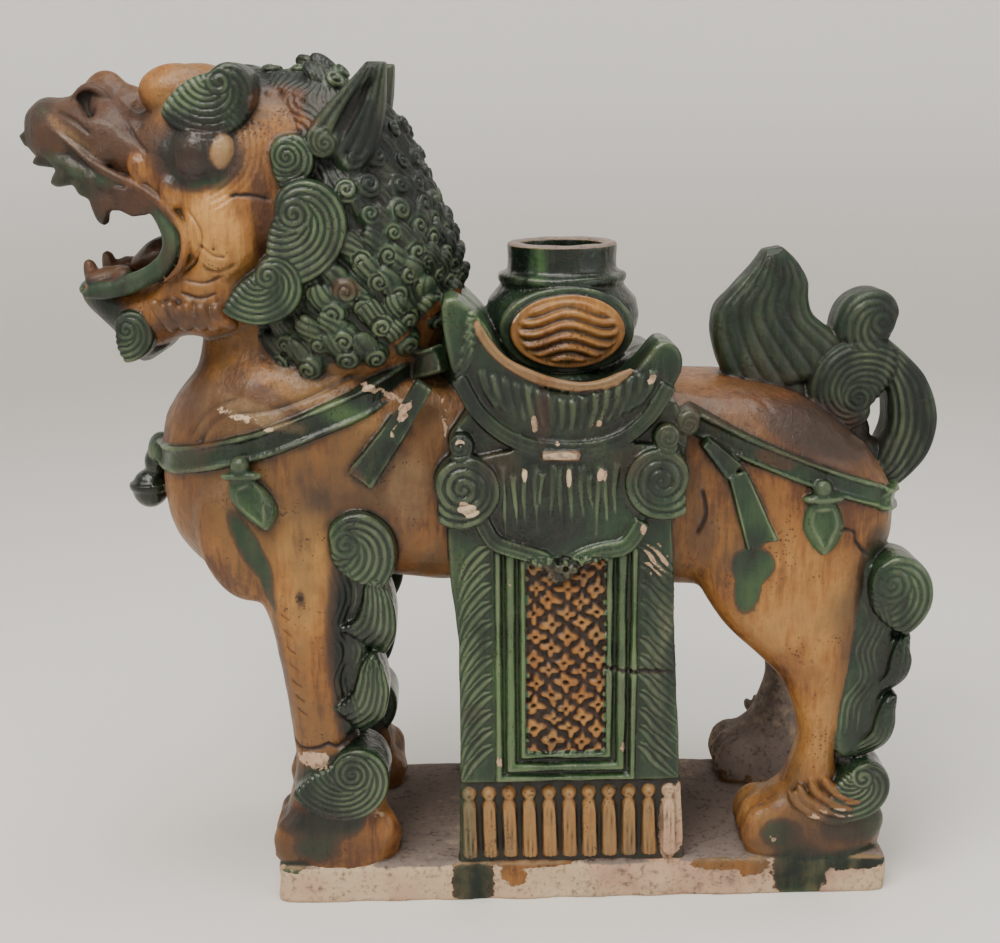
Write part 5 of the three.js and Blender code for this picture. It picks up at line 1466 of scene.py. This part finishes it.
def build_pieces(material):
    fine, points, normals, masks = build_skin()
    thin = thinned(fine)
    thin_points = read(thin, "co", 3).astype(float)
    triangles = read(thin, "vertices", 3, np.int32, "polygons")
    tree = KDTree(len(points))
    for index, spot in enumerate(points.tolist()):
        tree.insert(spot, index)
    tree.balance()
    made = []
    for name, low_x, high_x, low_z, high_z in PIECES:
        mesh = cut_piece(thin_points, triangles, low_x, high_x, low_z, high_z)
        corners = read(mesh, "co", 3).astype(float)
        nearest = np.array([tree.find(spot)[1] for spot in corners.tolist()])
        for column, mask in enumerate([*MASKS, "relief", "pooling_and_shade"]):
            layer = mesh.attributes.new(mask, "FLOAT", "POINT")
            layer.data.foreach_set("value", masks[nearest, column].astype(np.float32))
        write_points(mesh, corners * MM)
        mesh.shade_smooth()
        mesh.normals_split_custom_set_from_vertices(normals[nearest].tolist())
        mesh.materials.append(material)
        piece = bpy.data.objects.new(name, mesh)
        bpy.context.scene.collection.objects.link(piece)
        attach(piece, "root")
        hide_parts(NODE)
        made.append(piece)
        print(name, len(mesh.polygons))
    return made


# Camera, floor and light

def add_camera():
    """The photograph's view: position in mm, then pitch, yaw and roll in degrees."""
    position, pitch, yaw, roll = Vector((-80.3, -1036.5, 553.6)), 14.26, 1.36, -0.47
    pitch, yaw, roll = (math.radians(angle) for angle in (pitch, yaw, roll))
    forward = Vector((math.sin(yaw) * math.cos(pitch), math.cos(yaw) * math.cos(pitch), -math.sin(pitch)))
    level = forward.cross(Vector((0, 0, 1))).normalized()
    upright = level.cross(forward)
    right = level * math.cos(roll) + upright * math.sin(roll)
    up = upright * math.cos(roll) - level * math.sin(roll)
    camera = bpy.data.objects.new("camera", bpy.data.cameras.new("camera"))
    camera.data.lens = 54.0
    camera.data.sensor_width = 36.0
    camera.data.clip_start = 0.05
    turned = Matrix((right, up, -forward)).transposed().to_4x4()
    camera.matrix_world = Matrix.Translation(position * MM) @ turned
    bpy.context.scene.collection.objects.link(camera)
    bpy.context.scene.camera = camera


def plain_material(name, colour, rough):
    material = bpy.data.materials.new(name)
    material.use_nodes = True
    n = Nodes(material.node_tree)
    shader = material.node_tree.nodes["Principled BSDF"]
    mottle = n.noise(3.0, 3)
    n.give(shader.inputs["Base Color"], n.mix(n.between(mottle, 0.3, 0.7), colour,
            tuple(c * 0.96 for c in colour)))
    n.give(shader.inputs["Roughness"], rough)
    return material


def add_stage():
    """A round pale floor whose edge curves up into a pale wall, further off than any camera."""
    flat, bend, height, sides = 2.2, 0.8, 3.0, 96
    profile = [(0.6, 0.0), (flat, 0.0)]
    profile += [(flat + bend * math.sin(a), bend - bend * math.cos(a))
                for a in (math.pi / 2 * share / 16 for share in range(1, 17))]
    profile.append((flat + bend, height))
    turns = [2 * math.pi * side / sides for side in range(sides)]
    corners = [(reach * math.cos(turn), reach * math.sin(turn), z) for reach,
               z in profile for turn in turns]
    faces = [tuple(range(sides))]
    for ring in range(len(profile) - 1):
        for side in range(sides):
            here, after = ring * sides + side, ring * sides + (side + 1) % sides
            faces.append((here, here + sides, after + sides, after))
    mesh = bpy.data.meshes.new("floor")
    mesh.from_pydata(corners, [], faces)
    mesh.shade_smooth()
    paint = plain_material("floor_paint", (0.80, 0.78, 0.74), 0.6)
    n = Nodes(paint.node_tree)
    shader = paint.node_tree.nodes["Principled BSDF"]
    # The wall glows a little, because the lights stand far from it
    level = n.make("ShaderNodeSeparateXYZ",
                   {"Vector": n.make("ShaderNodeTexCoord").outputs["Object"]}).outputs["Z"]
    n.give(shader.inputs["Emission Color"], (0.80, 0.78, 0.74))
    n.give(shader.inputs["Emission Strength"], n.between(level, 0.0, 0.7, 0.0, 0.34))
    mesh.materials.append(paint)
    floor = bpy.data.objects.new("floor", mesh)
    bpy.context.scene.collection.objects.link(floor)


def add_light(name, place, target, size, power, colour):
    light = bpy.data.lights.new(name, "AREA")
    light.shape = "RECTANGLE"
    light.size, light.size_y = size
    light.energy = power
    light.color = colour
    holder = bpy.data.objects.new(name, light)
    holder.location = place
    holder.rotation_mode = "QUATERNION"
    holder.rotation_quaternion = (Vector(target) - Vector(place)).to_track_quat("-Z", "Y")
    bpy.context.scene.collection.objects.link(holder)


def add_lights():
    world = bpy.data.worlds.new("studio")
    world.use_nodes = True
    world.node_tree.nodes["Background"].inputs["Color"].default_value = (0.95, 0.96, 1.0, 1)
    world.node_tree.nodes["Background"].inputs["Strength"].default_value = 0.24
    bpy.context.scene.world = world
    middle = (-0.05, 0, 0.3)
    add_light("key", (-0.7, -1.0, 1.7), middle, (1.0, 0.6), 30, (1.0, 0.95, 0.88))
    add_light("top", (0.1, -0.1, 1.9), middle, (1.6, 0.8), 28, (1.0, 0.97, 0.92))
    add_light("fill", (1.5, -1.2, 0.8), middle, (1.0, 1.0), 8, (0.92, 0.96, 1.0))


add_camera()
make_face()
make_mane()
make_fringes()
make_tail()
make_saddle()
make_short_cloth()
make_long_cloth()
make_harness()
make_vase()
make_slab()
for crack in CRACKS:
    comb(crack, 1.8, 0, -1.8, 60, both=False)
for spot in ((-324, 549, 3.6, 6, 10, 0), (-320, 544, 3.8, 8, 10, 0), (-192, 224, 3, 1.5, 60, -1),
             (-212, 552, 1.6, 1.5, 30, -1),
             (-204, 553, 1.6, 1.5, 30, -1), (-196, 553, 1.8, 1.5, 30, -1), (-188, 551, 1.5, 1.4, 30, -1),
             (-181, 548, 1.5, 1.4, 30, -1), (-240, 456, 1.6, 2.0, 40, -1)):
    pits.append(spot)
build_pieces(glaze_material())
add_stage()
add_lights()
